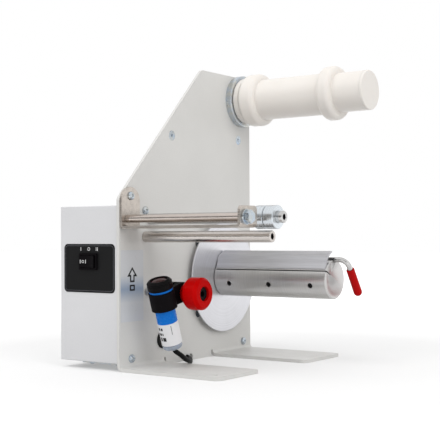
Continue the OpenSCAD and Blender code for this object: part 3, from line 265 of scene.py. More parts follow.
@dataclass(frozen=True)
class DrawnMetal(Finish):
    """Brushed, drawn or ground metal with fine lines in one direction."""

    grain: Grain = Grain.ALONG_SHAFTS
    lines: float = 2600.0
    depth: float = 0.000006

    def dress(self, tree: ShaderTree) -> None:
        """Builds the brushed metal."""
        fine = tree.noise(self.lines, 3.0, tree.mapped(self.grain.value))
        broad = tree.noise(self.lines / 9, 2.0, tree.mapped(self.grain.value))
        marks = tree.reckon("ADD", fine, broad)
        tree.surface(
            Metallic=1.0,
            Base_Color=tree.mixed(
                tree.ranged(marks, 0.0, 1.0, 0.75, 1.25), shade(self.colour, 0.86), shade(self.colour, 1.08)
            ),
            Roughness=tree.ranged(fine, self.roughness - 0.07, self.roughness + 0.09),
        )
        tree.relief(marks, self.depth, self.edge)


@dataclass(frozen=True)
class TurnedMetal(Finish):
    """Metal turned on a lathe about an axis along X, with fine rings on its round and its end faces."""

    centre: Pair = (0.0, 0.0)
    rings: float = 1500.0
    depth: float = 0.000008

    def dress(self, tree: ShaderTree) -> None:
        """Builds the turned metal."""
        at = bench(0.0, *self.centre)
        parts = tree.node(
            "ShaderNodeSeparateXYZ", {0: tree.mapped((1.0, 1.0, 1.0), Vector((0.0, at.y, at.z)))}
        ).outputs
        across = tree.node("ShaderNodeCombineXYZ", {1: parts[1], 2: parts[2]}).outputs[0]
        radius = tree.node("ShaderNodeVectorMath", {0: across}, operation="LENGTH").outputs["Value"]
        path = tree.reckon("ADD", parts[0], radius)
        ring = tree.node(
            "ShaderNodeTexNoise", {"W": path, "Scale": self.rings, "Detail": 3.0}, noise_dimensions="1D"
        ).outputs[0]
        wash = tree.noise(35.0, 3.0)
        both = tree.reckon("ADD", ring, wash)
        tree.surface(
            Metallic=1.0,
            Base_Color=tree.mixed(
                tree.ranged(both, 0.0, 1.0, 0.75, 1.25), shade(self.colour, 0.9), shade(self.colour, 1.06)
            ),
            Roughness=tree.ranged(both, self.roughness - 0.05, self.roughness + 0.08, 0.7, 1.3),
        )
        tree.relief(ring, self.depth, self.edge)


@dataclass(frozen=True)
class ZincPlate(Finish):
    """Bright zinc with bluish and yellowish clouds."""

    def dress(self, tree: ShaderTree) -> None:
        """Builds the zinc."""
        clouds = tree.noise(170.0, 4.0)
        warm = (self.colour[0] * 1.02, self.colour[1] * 0.98, self.colour[2] * 0.88)
        cool = (self.colour[0] * 0.86, self.colour[1] * 0.95, min(self.colour[2] * 1.06, 1.0))
        tree.surface(
            Metallic=1.0,
            Base_Color=tree.mixed(tree.ranged(clouds, 0.0, 1.0), cool, warm),
            Roughness=tree.ranged(tree.noise(420.0, 3.0), self.roughness - 0.06, self.roughness + 0.1),
        )
        tree.relief(tree.noise(2400.0, 2.0), 0.000006, self.edge)


@dataclass(frozen=True)
class MouldedPlastic(Finish):
    """Plastic with its moulded texture, coat and glow."""

    texture: float = 1500.0
    depth: float = 0.00001
    coat: float = 0.0
    glow: float = 0.0
    cloud: float = 0.04
    sheen: float = 0.5
    refraction: float = 1.5

    def dress(self, tree: ShaderTree) -> None:
        """Builds the plastic."""
        tree.surface(
            Base_Color=tree.mixed(
                tree.ranged(tree.noise(45.0, 3.0), 0.0, 1.0), shade(self.colour, 1 - self.cloud),
                shade(self.colour, 1 + self.cloud)
            ),
            Roughness=tree.ranged(tree.noise(260.0, 3.0), self.roughness - 0.04, self.roughness + 0.07),
            Specular_IOR_Level=self.sheen,
            IOR=self.refraction,
            Coat_Weight=self.coat,
            Coat_Roughness=0.12,
            Subsurface_Weight=self.glow,
            Subsurface_Radius=(1.0, 0.9, 0.8),
            Subsurface_Scale=0.004,
        )
        tree.relief(tree.noise(self.texture, 2.0), self.depth, self.edge)


@dataclass(frozen=True)
class ClearPlastic(Finish):
    """See-through plastic with faint haze."""

    clear: float = 0.85

    def dress(self, tree: ShaderTree) -> None:
        """Builds the clear plastic."""
        haze = tree.noise(300.0, 2.0)
        tree.surface(
            Base_Color=tree.mixed(haze, shade(self.colour, 0.93), self.colour),
            Roughness=tree.ranged(haze, self.roughness - 0.04, self.roughness + 0.08),
            Transmission_Weight=self.clear,
            IOR=1.49,
        )
        tree.relief(tree.noise(900.0, 2.0), 0.000005, self.edge)


@dataclass(frozen=True)
class SilverFilm(Finish):
    """Silvered film with a painted reflection: a soft bluish band across its middle height, where a
    reflection shows on the silver.
    """

    band: Colour = (0.3, 0.36, 0.45)
    middle: float = 0.072
    half: float = 0.012

    def dress(self, tree: ShaderTree) -> None:
        """Builds the film with its painted reflection band."""
        height = tree.node("ShaderNodeSeparateXYZ", {0: tree.coords}).outputs[2]
        offset = tree.reckon("SUBTRACT", height, self.middle)
        away = tree.reckon("ABSOLUTE", offset)
        tree.surface(
            # painted reflection: the colour turns bluish towards the middle height and fades out over half a
            # band's width
            Base_Color=tree.mixed(tree.ranged(away, 0.0, 1.0, 0.0, self.half), self.band, self.colour),
            Roughness=tree.ranged(tree.noise(240.0, 3.0), self.roughness - 0.05, self.roughness + 0.07),
            Specular_IOR_Level=0.4,
        )
        tree.relief(tree.noise(2200.0, 2.0), 0.000005, self.edge)


PLATE_PAINT = PowderCoat("plate_paint", tone(219, 218, 215), 0.42, 0.0006)
COVER_PAINT = PowderCoat("cover_paint", tone(219, 219, 221), 0.45, 0.0004, peel=1500.0, depth=0.00002)
SERVICE_STEEL = ZincPlate("service_steel", tone(196, 197, 198), 0.38)
PANEL_FILM = MouldedPlastic(
    "panel_film", tone(26, 26, 27), 0.38, 0.0002, texture=2600.0, depth=0.000012, sheen=0.1
)
PRINT_WHITE = MouldedPlastic("print_white", tone(226, 226, 226), 0.5, 0.00005)
PRINT_GREY = MouldedPlastic("print_grey", tone(104, 106, 112), 0.5, 0.00005)
PRINT_BLACK = MouldedPlastic("print_black", tone(36, 36, 38), 0.5, 0.00005, sheen=0.2)
# The sign's bluish band is a painted reflection on the silvered film, not print.
SIGN_FILM = SilverFilm("sign_film", tone(212, 214, 217), 0.32, 0.0001, band=tone(158, 174, 196))
SCREW_ZINC = ZincPlate("screw_zinc", tone(196, 202, 208), 0.24, 0.00015)
SCREW_BLACK = ZincPlate("screw_black", tone(52, 52, 56), 0.35, 0.00015)
# painted shade: a dark lining for the tapped holes in the bar ends, standing in for the shade inside them
BORE_SHADE_PAINT = ZincPlate("bore_painted_shade", tone(58, 56, 56), 0.4, 0.0001)
STAINLESS = DrawnMetal("stainless_strip", tone(196, 188, 180), 0.3, 0.0003)
ROLLER_STEEL = DrawnMetal("roller_steel", tone(200, 190, 183), 0.22, 0.0002)
GROUND_STEEL = DrawnMetal("ground_steel", tone(205, 204, 203), 0.2, 0.0003, lines=3200.0)
LOWER_STEEL = DrawnMetal("lower_bar_steel", tone(206, 200, 195), 0.26, 0.0003, lines=3200.0)
COLLAR_METAL = TurnedMetal("collar_metal", tone(218, 224, 229), 0.26, 0.0003, centre=SHAFT_AT)
MANDREL_METAL = TurnedMetal(
    "mandrel_metal", tone(202, 201, 200), 0.33, 0.0005, centre=MANDREL_AT, rings=1100.0, depth=0.000003
)
JAW_METAL = DrawnMetal("jaw_metal", tone(200, 200, 204), 0.36, 0.0004)
FLANGE_METAL = TurnedMetal(
    "flange_metal", tone(216, 216, 220), 0.34, 0.0004, centre=MANDREL_AT, rings=900.0
)
POST_METAL = TurnedMetal("post_metal", tone(196, 196, 198), 0.28, 0.0003, centre=STUD_AT)
DISC_ZINC = ZincPlate("disc_zinc", tone(200, 203, 206), 0.3, 0.0005)
HUB_PLASTIC = MouldedPlastic(
    "hub_plastic", tone(236, 231, 225), 0.36, 0.0006, texture=700.0, depth=0.000012, glow=0.12, cloud=0.012
)
GRIP_RED = MouldedPlastic(
    "grip_red", tone(184, 12, 14), 0.3, 0.0004, texture=500.0, sheen=0.1, refraction=1.38
)
KNOB_RED = MouldedPlastic(
    "knob_red", tone(190, 4, 4), 0.3, 0.0005, texture=600.0, sheen=0.06, refraction=1.35
)
GEAR_PLASTIC = MouldedPlastic("gear_plastic", tone(232, 228, 214), 0.42, 0.0002)
PINION_BRASS = TurnedMetal("pinion_brass", tone(206, 178, 110), 0.3, 0.0002, centre=(111.8, 77.8))
BOARD_GREEN = MouldedPlastic("board_green", tone(26, 84, 44), 0.34, 0.0002, texture=1800.0)
BLACK_PLASTIC = MouldedPlastic(
    "black_plastic", tone(20, 18, 20), 0.42, 0.0005, texture=1900.0, depth=0.000018, sheen=0.05,
    refraction=1.3
)
HEAD_BLACK = MouldedPlastic(
    "head_black", tone(18, 17, 18), 0.28, 0.0005, texture=1300.0, sheen=0.07, refraction=1.35
)
SENSOR_BLUE = MouldedPlastic(
    "sensor_blue", tone(14, 112, 206), 0.25, 0.0004, texture=900.0, sheen=0.16, refraction=1.4
)
LENS_RED = MouldedPlastic("lens_red", tone(48, 6, 9), 0.14, 0.0002, texture=600.0, depth=0.000004, sheen=0.25)
CLEAR_CAP = ClearPlastic("clear_cap", tone(208, 218, 230), 0.16, 0.0004, clear=0.55)
LABEL_FILM = MouldedPlastic("label_film", tone(228, 228, 230), 0.34, 0.0001, texture=2600.0, depth=0.000004)
CABLE_PVC = MouldedPlastic(
    "cable_pvc", tone(20, 20, 21), 0.42, 0.0002, texture=1300.0, depth=0.00002, sheen=0.08, refraction=1.35
)
BLACK_RUBBER = MouldedPlastic(
    "black_rubber", tone(30, 30, 30), 0.62, 0.0003, texture=1100.0, depth=0.00003, sheen=0.2
)

NODE_FINISH: dict[str, Finish] = {
    "frame_plate": PLATE_PAINT, "drive_cover": COVER_PAINT, "service_plate": SERVICE_STEEL,
    "control_decal": PANEL_FILM, "direction_plate": SIGN_FILM, "small_screws": SCREW_ZINC,
    "countersunk_screws": SCREW_ZINC, "frame_nuts": SCREW_ZINC, "shaft_screws": SCREW_ZINC,
    "peel_bracket": STAINLESS, "peel_roller": ROLLER_STEEL, "supply_disc": DISC_ZINC,
    "supply_axle": GROUND_STEEL, "axle_retainer": SCREW_ZINC, "rewind_spindle": GROUND_STEEL,
    "mandrel_body": MANDREL_METAL, "mandrel_jaw": JAW_METAL, "drive_gear": GEAR_PLASTIC,
    "spindle_clip": SCREW_BLACK, "bearing_inner_rings": GROUND_STEEL, "bearing_outer_rings": GROUND_STEEL,
    "bearing_housings": FLANGE_METAL, "motor_bracket": SERVICE_STEEL, "standoffs": SCREW_ZINC,
    "gearbox": SERVICE_STEEL, "motor_can": SERVICE_STEEL, "motor_shaft": GROUND_STEEL,
    "motor_pinion": PINION_BRASS, "control_board": BOARD_GREEN, "board_parts": BLACK_PLASTIC,
    "power_inlet": BLACK_PLASTIC, "switch_body": BLACK_PLASTIC, "switch_rocker": BLACK_PLASTIC,
    "sensor_stud": SCREW_BLACK, "sensor_clamp": BLACK_PLASTIC, "cable_grommet": BLACK_RUBBER,
    "inner_collar_screw": SCREW_BLACK, "outer_collar_screw": SCREW_BLACK, "sensor_post": POST_METAL,
    "blanking_plug": BLACK_RUBBER, "sensor_end_cap": CLEAR_CAP,
}


# ---- Shapes ----


@dataclass(frozen=True)
class Ring:
    """One ring of a turned piece: its radius, its place along the axis and its flats."""

    radius: float
    along: float
    flats: int = 0

    def reach(self, angle: float) -> float:
        """Radius at an angle, or the distance to the flat there where the ring has flats."""
        if not self.flats:
            return self.radius
        step = math.tau / self.flats
        return self.radius / math.cos((angle % step) - step / 2)


@dataclass(frozen=True)
class Axis:
    """A line that a piece is turned about, in bench millimetres."""

    origin: Vector
    direction: Vector
    side: Vector

    @classmethod
    def shaft(cls, y: float, z: float) -> "Axis":
        """The axis of a shaft that stands out of the plate at a height and depth."""
        return cls(Vector((0.0, y, z)), OUT, UP)

    def point(self, radius: float, angle: float, along: float) -> Vector:
        """The place at a radius, an angle and a distance along the axis, in metres."""
        other = self.direction.cross(self.side)
        spot = self.origin + self.direction * along + (
            self.side * math.cos(angle) + other * math.sin(angle)
        ) * radius
        return bench(*spot)


def profile(*spots: tuple) -> list[Ring]:
    """Rings from their radius, place along the axis and, where they have any, flats."""
    return [Ring(*spot) for spot in spots]


def softened(corners: Sequence[tuple[float, float, float]], steps: int = 5) -> list[Ring]:
    """Rounds the corners of a profile.

    Args:
        corners: Radius, place along the axis and rounding of each corner.
        steps: Steps of each rounding.

    Returns:
        The rings of the rounded profile.
    """
    rings: list[Ring] = []
    last = len(corners) - 1
    for i, (x, y, rounding) in enumerate(corners):
        if rounding <= 0 or i in (0, last):
            rings.append(Ring(x, y))
            continue
        here = Vector((x, y))
        back = (Vector(corners[i - 1][:2]) - here).normalized()
        ahead = (Vector(corners[i + 1][:2]) - here).normalized()
        half = back.angle(ahead) / 2
        first, final = here + back * rounding / math.tan(half), here + ahead * rounding / math.tan(half)
        middle = here + (back + ahead).normalized() * rounding / math.sin(half)
        for k in range(steps + 1):
            spoke = (first - middle).lerp(final - middle, k / steps)
            spot = middle + spoke.normalized() * rounding
            rings.append(Ring(max(spot.x, 0.0), spot.y))
    return rings


class Workshop:
    """Makes meshes, puts finishes on them and hands them to their bodies."""

    def __init__(self) -> None:
        """Reads which body each node is on and which slot it has."""
        record = frame["record"]
        self.body_of = {n: body for body, nodes in record["behaviour"]["bodies"].items() for n in nodes}
        self.slot_of = {part["node"]: part["material_slot"] for part in record["subparts"]}
        self.count = 0

    def hand_over(
        self, piece: bpy.types.Object, finish: Finish, node: str, stands_for: Sequence[str] = ()
    ) -> bpy.types.Object:
        """Dresses a piece and gives it to the body that carries a node.

        Args:
            piece: The finished object.
            finish: Its finish.
            node: The node whose body it takes.
            stands_for: Nodes that it replaces.

        Returns:
            The same object.
        """
        material = finish.make()
        if not piece.data.materials:
            piece.data.materials.append(material)
        piece.data.materials[0] = material
        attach(piece, self.body_of[node])
        if stands_for:
            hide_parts(*stands_for)
        self.count += 1
        LOG.info("%s on %s, %s", piece.name, self.body_of[node], finish.name)
        return piece

    def object_from(
        self, name: str, shape: bmesh.types.BMesh, crease: float = 32.0, tidy: bool = True
    ) -> bpy.types.Object:
        """Turns a built mesh into an object with smooth faces and sharp creases.

        Args:
            name: The object's name.
            shape: The built mesh, which is freed.
            crease: Angle in degrees from which an edge stays sharp.
            tidy: Whether to merge doubles and turn the faces outwards.

        Returns:
            The new object.
        """
        if tidy:
            bmesh.ops.remove_doubles(shape, verts=shape.verts, dist=2e-7)
            bmesh.ops.recalc_face_normals(shape, faces=shape.faces)
        mesh = bpy.data.meshes.new(name)
        shape.to_mesh(mesh)
        shape.free()
        mesh.shade_smooth()
        mesh.set_sharp_from_angle(angle=math.radians(crease))
        made = bpy.data.objects.new(name, mesh)
        bpy.context.collection.objects.link(made)
        self.even_out(made)
        return made

    def even_out(self, piece: bpy.types.Object) -> None:
        """Weights the normals by face area, so that flat faces beside small bends stay flat.

        Args:
            piece: The object, whose mesh is replaced.
        """
        rough = piece.data
        piece.modifiers.new("even normals", "WEIGHTED_NORMAL").keep_sharp = True
        depsgraph = bpy.context.evaluated_depsgraph_get()
        mesh = bpy.data.meshes.new_from_object(
            piece.evaluated_get(depsgraph), preserve_all_data_layers=True, depsgraph=depsgraph
        )
        piece.modifiers.clear()
        piece.data = mesh
        bpy.data.meshes.remove(rough)

    def bridge(self, shape: bmesh.types.BMesh, rows: Sequence[Sequence[bmesh.types.BMVert]]) -> None:
        """Joins rows of points that close on themselves with faces, and drops what has no area.

        Args:
            shape: The mesh that is being built.
            rows: The rows of points, in order.
        """
        for low, high in zip(rows, rows[1:]):
            for k in range(len(low)):
                n = (k + 1) % len(low)
                corners = [low[k], low[n], high[n], high[k]]
                kept = [v for i, v in enumerate(corners) if v not in corners[:i]]
                if len(kept) > 2:
                    shape.faces.new(kept)

    def turned(
        self, name: str, rings: Sequence[Ring], axis: Axis, segments: int = 96, ring_shaped: bool = False
    ) -> bpy.types.Object:
        """A piece turned about an axis.

        Args:
            name: The object's name.
            rings: Its profile.
            axis: The line that it is turned about.
            segments: Faces round it.
            ring_shaped: Whether the profile closes on itself, as on a tube.

        Returns:
            The new object.
        """
        shape = bmesh.new()
        rows = []
        for ring in rings:
            angles = [math.tau * k / segments for k in range(segments)]
            if ring.radius <= 1e-9:
                rows.append([shape.verts.new(axis.point(0.0, 0.0, ring.along))] * segments)
            else:
                rows.append([shape.verts.new(axis.point(ring.reach(a), a, ring.along)) for a in angles])
        self.bridge(shape, rows + rows[:1] if ring_shaped else rows)
        for row in (rows[0], rows[-1]):
            if not ring_shaped and row[0] is not row[1]:
                shape.faces.new(row)
        return self.object_from(name, shape)

    def swept(self, name: str, route: Sequence[Vector], radius: float, sides: int = 32) -> bpy.types.Object:
        """A round rod along a route.

        Args:
            name: The object's name.
            route: Points in bench millimetres.
            radius: The rod's radius in millimetres.
            sides: Faces round it.

        Returns:
            The new object.
        """
        shape = bmesh.new()
        rows = []
        side = UP
        for i, spot in enumerate(route):
            along = (route[min(i + 1, len(route) - 1)] - route[max(i - 1, 0)]).normalized()
            side = (side - along * side.dot(along)).normalized()
            other = along.cross(side)
            rows.append(
                [
                    shape.verts.new(bench(*(spot + (side * math.cos(a) + other * math.sin(a)) * radius)))
                    for a in (math.tau * k / sides for k in range(sides))
                ]
            )
        self.bridge(shape, rows)
        shape.faces.new(rows[0])
        shape.faces.new(rows[-1])
        return self.object_from(name, shape)

    def slab(
        self, name: str, outlines: Sequence[Sequence[Pair]], base: Vector, right: Vector, up: Vector,
        thick: float
    ) -> bpy.types.Object:
        """Flat shapes of one thickness, standing off a plane.

        Args:
            name: The object's name.
            outlines: Each shape's corners, in millimetres along right and up.
            base: The plane's zero in bench millimetres.
            right: Direction of the first coordinate.
            up: Direction of the second.
            thick: Thickness in millimetres, along right x up.

        Returns:
            The new object.
        """
        out = right.cross(up) * thick
        shape = bmesh.new()
        for outline in outlines:
            spots = [base + right * u + up * v for u, v in outline]
            bottom = [shape.verts.new(bench(*spot)) for spot in spots]
            top = [shape.verts.new(bench(*(spot + out))) for spot in spots]
            shape.faces.new(bottom)
            shape.faces.new(top)
            for k in range(len(spots)):
                n = (k + 1) % len(spots)
                shape.faces.new((bottom[k], bottom[n], top[n], top[k]))
        return self.object_from(name, shape)

    def wrapped(
        self, name: str, axis: Axis, radius: float, span: Pair, angles: Pair, thick: float = 0.12,
        steps: int = 40
    ) -> bpy.types.Object:
        """A thin sheet wrapped round a cylinder.

        Args:
            name: The object's name.
            axis: The cylinder's axis.
            radius: The cylinder's radius in millimetres.
            span: Where the sheet starts and ends along the axis.
            angles: Where it starts and ends round the axis, in degrees.
            thick: The sheet's thickness.
            steps: Faces round it.

        Returns:
            The new object.
        """
        shape = bmesh.new()
        rows = []
        for k in range(steps + 1):
            a = math.radians(angles[0] + (angles[1] - angles[0]) * k / steps)
            rows.append(
                [
                    shape.verts.new(axis.point(r, a, t))
                    for r,
                    t in (
                        (radius, span[0]), (radius + thick, span[0]), (radius + thick, span[1]),
                        (radius, span[1])
                    )
                ]
            )
        self.bridge(shape, rows)
        shape.faces.new(rows[0])
        shape.faces.new(rows[-1])
        return self.object_from(name, shape)

    def smoothed(self, node: str, crease: float = 24.0) -> bpy.types.Object:
        """A merged and smooth-shaded copy of a node's solid."""
        shape = bmesh.new()
        shape.from_mesh(frame["nodes"][node].data)
        bmesh.ops.remove_doubles(shape, verts=shape.verts, dist=1e-7)
        return self.object_from(f"{node}_skin", shape, crease, tidy=False)

    def dress_nodes(self, *nodes: str) -> None:
        """Puts smooth, dressed copies in the nodes' places."""
        for node in nodes:
            self.hand_over(self.smoothed(node), NODE_FINISH[node], node, [node])

    def turned_node(
        self, node: str, rings: Sequence[Ring], axis: Axis, finish: Finish, segments: int = 96,
        ring_shaped: bool = False
    ) -> None:
        """Puts a dressed turned piece in a node's place.

        Args:
            node: The node that it replaces.
            rings: Its profile.
            axis: The line that it is turned about.
            finish: Its finish.
            segments: Faces round it.
            ring_shaped: Whether the profile closes on itself.
        """
        piece = self.turned(f"{node}_turned", rings, axis, segments, ring_shaped)
        self.hand_over(piece, finish, node, [node])


def box_outline(left: float, low: float, right: float, high: float) -> list[Pair]:
    """Corners of a plain rectangle."""
    return [(left, low), (right, low), (right, high), (left, high)]


def round_outline(width: float, height: float, radius: float, centre: Pair = (0.0, 0.0)) -> list[Pair]:
    """Corners of a rectangle with round corners, about its middle."""
    spots = []
    for quarter, (sx, sy) in enumerate(((1, 1), (-1, 1), (-1, -1), (1, -1))):
        for k in range(7):
            a = math.radians(90 * quarter + 15 * k)
            spots.append(
                (
                    centre[0] + sx * (width / 2 - radius) + radius * math.cos(a),
                    centre[1] + sy * (height / 2 - radius) + radius * math.sin(a),
                )
            )
    return spots


def band_outlines(outer: Sequence[Pair], inner: Sequence[Pair]) -> list[list[Pair]]:
    """Cuts the band between two outlines of as many points into four-cornered pieces."""
    count = len(outer)
    return [[outer[k], outer[(k + 1) % count], inner[(k + 1) % count], inner[k]] for k in range(count)]


# ---- Repeated fasteners ----


@dataclass
class ScrewSet:
    """Equal screws set out by a node tree on points that carry their direction."""

    name: str
    rings: list[Ring]
    places: list[tuple[Vector, Vector]]
    finish: Finish
    node: str
    seed: int = 3

    def tree(self) -> bpy.types.NodeTree:
        """Builds the tree that puts one screw on each point, turned by chance about its own axis."""
        group = bpy.data.node_groups.new(f"{self.name}_tree", "GeometryNodeTree")
        for label, kind in (
            ("Geometry", "NodeSocketGeometry"), ("Screw", "NodeSocketObject"), ("Size", "NodeSocketFloat"),
            ("Seed", "NodeSocketInt"), ("Finish", "NodeSocketMaterial"),
        ):
            group.interface.new_socket(label, in_out="INPUT", socket_type=kind)
        group.interface.new_socket("Geometry", in_out="OUTPUT", socket_type="NodeSocketGeometry")
        add = group.nodes.new
        start, end = add("NodeGroupInput"), add("NodeGroupOutput")
        points, screw = add("GeometryNodeMeshToPoints"), add("GeometryNodeObjectInfo")
        facing, chance = add("GeometryNodeInputNamedAttribute"), add("FunctionNodeRandomValue")
        facing.data_type = "FLOAT_VECTOR"
        facing.inputs["Name"].default_value = "facing"
        turn = add("FunctionNodeAxisAngleToRotation")
        turn.inputs["Axis"].default_value = (1.0, 0.0, 0.0)
        chance.inputs[3].default_value = math.tau / 6
        aim, spin = add("FunctionNodeAlignRotationToVector"), add("FunctionNodeRotateRotation")
        aim.axis, spin.rotation_space = "X", "LOCAL"
        setting, real, paint = add(
            "GeometryNodeInstanceOnPoints"
        ), add("GeometryNodeRealizeInstances"), add("GeometryNodeSetMaterial")
        for source, output, target, entry in (
            (start, "Geometry", points, "Mesh"), (start, "Screw", screw, "Object"),
            (start, "Seed", chance, "Seed"),
            (facing, 0, aim, "Vector"), (chance, 1, turn, "Angle"), (aim, 0, spin, "Rotation"),
            (turn, 0, spin, "Rotate By"), (points, 0, setting, "Points"),
            (screw, "Geometry", setting, "Instance"),
            (spin, 0, setting, "Rotation"), (start, "Size", setting, "Scale"), (setting, 0, real, 0),
            (real, 0, paint, "Geometry"), (start, "Finish", paint, "Material"), (paint, 0, end, 0),
        ):
            group.links.new(source.outputs[output], target.inputs[entry])
        return group

    def build(self, shop: Workshop) -> None:
        """Sets the screws out and hands them over as one plain mesh.

        Args:
            shop: The workshop that makes them.
        """
        zero = Axis(ORIGIN, OUT, UP)
        sample = shop.turned(f"{self.name}_sample", self.rings, zero, segments=48)
        carrier_mesh = bpy.data.meshes.new(f"{self.name}_points")
        carrier_mesh.from_pydata([bench(*spot) for spot, _ in self.places], [], [])
        facing = carrier_mesh.attributes.new("facing", "FLOAT_VECTOR", "POINT")
        for k, (_, direction) in enumerate(self.places):
            facing.data[k].vector = direction
        carrier = bpy.data.objects.new(f"{self.name}_carrier", carrier_mesh)
        bpy.context.collection.objects.link(carrier)
        modifier = carrier.modifiers.new("set out", "NODES")
        modifier.node_group = self.tree()
        items = modifier.node_group.interface.items_tree
        sockets = {item.name: item.identifier for item in items if item.in_out == "INPUT"}
        modifier[sockets["Screw"]] = sample
        modifier[sockets["Size"]] = 1.0
        modifier[sockets["Seed"]] = self.seed
        modifier[sockets["Finish"]] = self.finish.make()
        depsgraph = bpy.context.evaluated_depsgraph_get()
        mesh = bpy.data.meshes.new_from_object(carrier.evaluated_get(depsgraph), depsgraph=depsgraph)
        carrier.modifiers.clear()
        bpy.data.objects.remove(carrier)
        bpy.data.objects.remove(sample)
        made = bpy.data.objects.new(self.name, mesh)
        bpy.context.collection.objects.link(made)
        mesh.set_sharp_from_angle(angle=math.radians(32.0))
        shop.hand_over(made, self.finish, self.node, [self.node])


# ---- Sub-assemblies ----


@dataclass
class FrameAndScrews:
    """The bent frame plate with the screws and nuts that go through it."""

    cover_screws: list[Pair] = field(
        default_factory=lambda: [(16.2, 10.3), (194.3, 10.3), (35.9, 142.0), (194.3, 142.0)]
    )
    arch_screw: Pair = (13.0, 154.6)
    standoffs: list[Pair] = field(
        default_factory=lambda: [(116.3, 43.8), (116.3, 111.8), (188.3, 43.8), (188.3, 111.8)]
    )
    accessory: list[Pair] = field(default_factory=lambda: [(76.2, 213.2), (187.3, 216.8)])
    bracket_t: float = 2.5
    bracket_x: float = -54.5

    def button(self, radius: float, height: float, socket: float, shank: float, length: float) -> list[Ring]:
        """Profile of a domed screw with a hexagonal socket."""
        return profile(
            (0.0, -length), (shank - 0.4, -length), (shank, -length + 0.5), (shank, 0.0),
            (radius - 0.1, 0.0), (radius, 0.15), (radius - 0.02, 0.55), (radius * 0.94, height * 0.52),
            (radius * 0.83, height * 0.74), (radius * 0.69, height * 0.9), (radius * 0.58, height * 0.97),
            (socket + 0.15, height, 6), (socket, height - 0.12, 6), (socket, height * 0.4, 6),
            (0.0, height * 0.3),
        )

    def flush(self) -> list[Ring]:
        """Profile of the countersunk accessory screws."""
        return profile(
            (0.0, -8.9), (2.1, -8.9), (2.5, -8.5), (2.5, -2.25), (4.66, -0.22), (4.7, -0.1),
            (4.6, 0.0), (1.75, 0.0, 6), (1.6, -0.12, 6), (1.6, -2.2, 6), (0.0, -2.6),
        )

    def build(self, shop: Workshop) -> None:
        """Dresses the plate and sets out its screws."""
        shop.dress_nodes("frame_plate")
        places = [(Vector((0.0, y, z)), OUT) for y, z in self.cover_screws]
        places.append((Vector((self.bracket_t, *self.arch_screw)), OUT))
        places += [(Vector((self.bracket_x, y, z)), -OUT) for y, z in self.standoffs]
        ScrewSet(
            "button_screw_set", self.button(3.8, 2.4, 1.35, 1.95, 7.4), places, SCREW_ZINC, "button_screws"
        ).build(shop)
        accessory = [(Vector((0.0, y, z)), OUT) for y, z in self.accessory]
        ScrewSet("accessory_screw_set", self.flush(), accessory, SCREW_ZINC, "accessory_screws").build(shop)
        shop.dress_nodes("small_screws", "countersunk_screws", "frame_nuts", "shaft_screws", "blanking_plug")


@dataclass
class DriveBox:
    """The cover with its panel, switch, inlet and the drive inside it."""

    panel_x: float = -35.6
    panel_z: float = 90.3
    panel_face: float = 0.2
    switch_x: float = -36.0
    switch_z: float = 96.3
    row_z: float = 107.5
    print_t: float = 0.05
    rocker_half: float = 8.1
    rocker_tip: float = -3.2
    rocker_hollow: float = 1.28

    def marks(self) -> list[list[Pair]]:
        """Outlines of the plain switch marks: one bar, a ring and two bars."""
        z = self.row_z - self.panel_z
        x = self.switch_x - self.panel_x
        bars = [box_outline(c - 0.3, z - 1.6, c + 0.3, z + 1.6) for c in (x - 9.5, x + 8.9, x + 10.5)]
        ring = band_outlines(round_outline(3.2, 3.2, 1.59, (x, z)), round_outline(2.1, 2.1, 1.04, (x, z)))
        return bars + ring

    def frame_line(self) -> list[list[Pair]]:
        """Outlines of the thin line printed round the panel."""
        return band_outlines(round_outline(57.5, 40.5, 3.0), round_outline(57.0, 40.0, 2.75))

    def print_panel(self, shop: Workshop) -> None:
        """Prints the marks on the panel and on the rocker."""
        base = Vector((self.panel_x, self.panel_face, self.panel_z))
        marks = shop.slab("panel_marks", self.marks(), base, OUT, UP, self.print_t)
        shop.hand_over(marks, PRINT_WHITE, "control_decal")
        line = shop.slab("panel_line", self.frame_line(), base, OUT, UP, self.print_t)
        shop.hand_over(line, PRINT_GREY, "control_decal")
        bar = [box_outline(-0.3, -1.7, 0.3, 1.7)]
        ring = band_outlines(round_outline(2.6, 2.6, 1.29), round_outline(1.7, 1.7, 0.84))
        for name, x, shapes in (
            ("rocker_bar", -7.4, bar), ("rocker_ring", -4.8, ring), ("rocker_second_bar", -1.9, bar)
        ):
            share = x / self.rocker_half
            place = Vector(
                (self.switch_x + x, self.rocker_tip + self.rocker_hollow * (1 - share**2), self.switch_z)
            )
            tilt = Vector((1.0, -2 * self.rocker_hollow * share / self.rocker_half, 0.0)).normalized()
            mark = shop.slab(name, shapes, place, tilt, UP, self.print_t * 2)
            shop.hand_over(mark, PRINT_WHITE, "switch_rocker")

    def build(self, shop: Workshop) -> None:
        """Dresses the box and everything inside it."""
        shop.dress_nodes(
            "drive_cover", "service_plate", "control_decal", "switch_body", "switch_rocker", "power_inlet",
            "cable_grommet", "control_board", "board_parts", "motor_bracket", "standoffs", "gearbox",
            "motor_can",
            "motor_shaft", "motor_pinion", "bearing_housings", "bearing_outer_rings", "bearing_inner_rings",
            "drive_gear", "spindle_clip",
        )
        self.print_panel(shop)


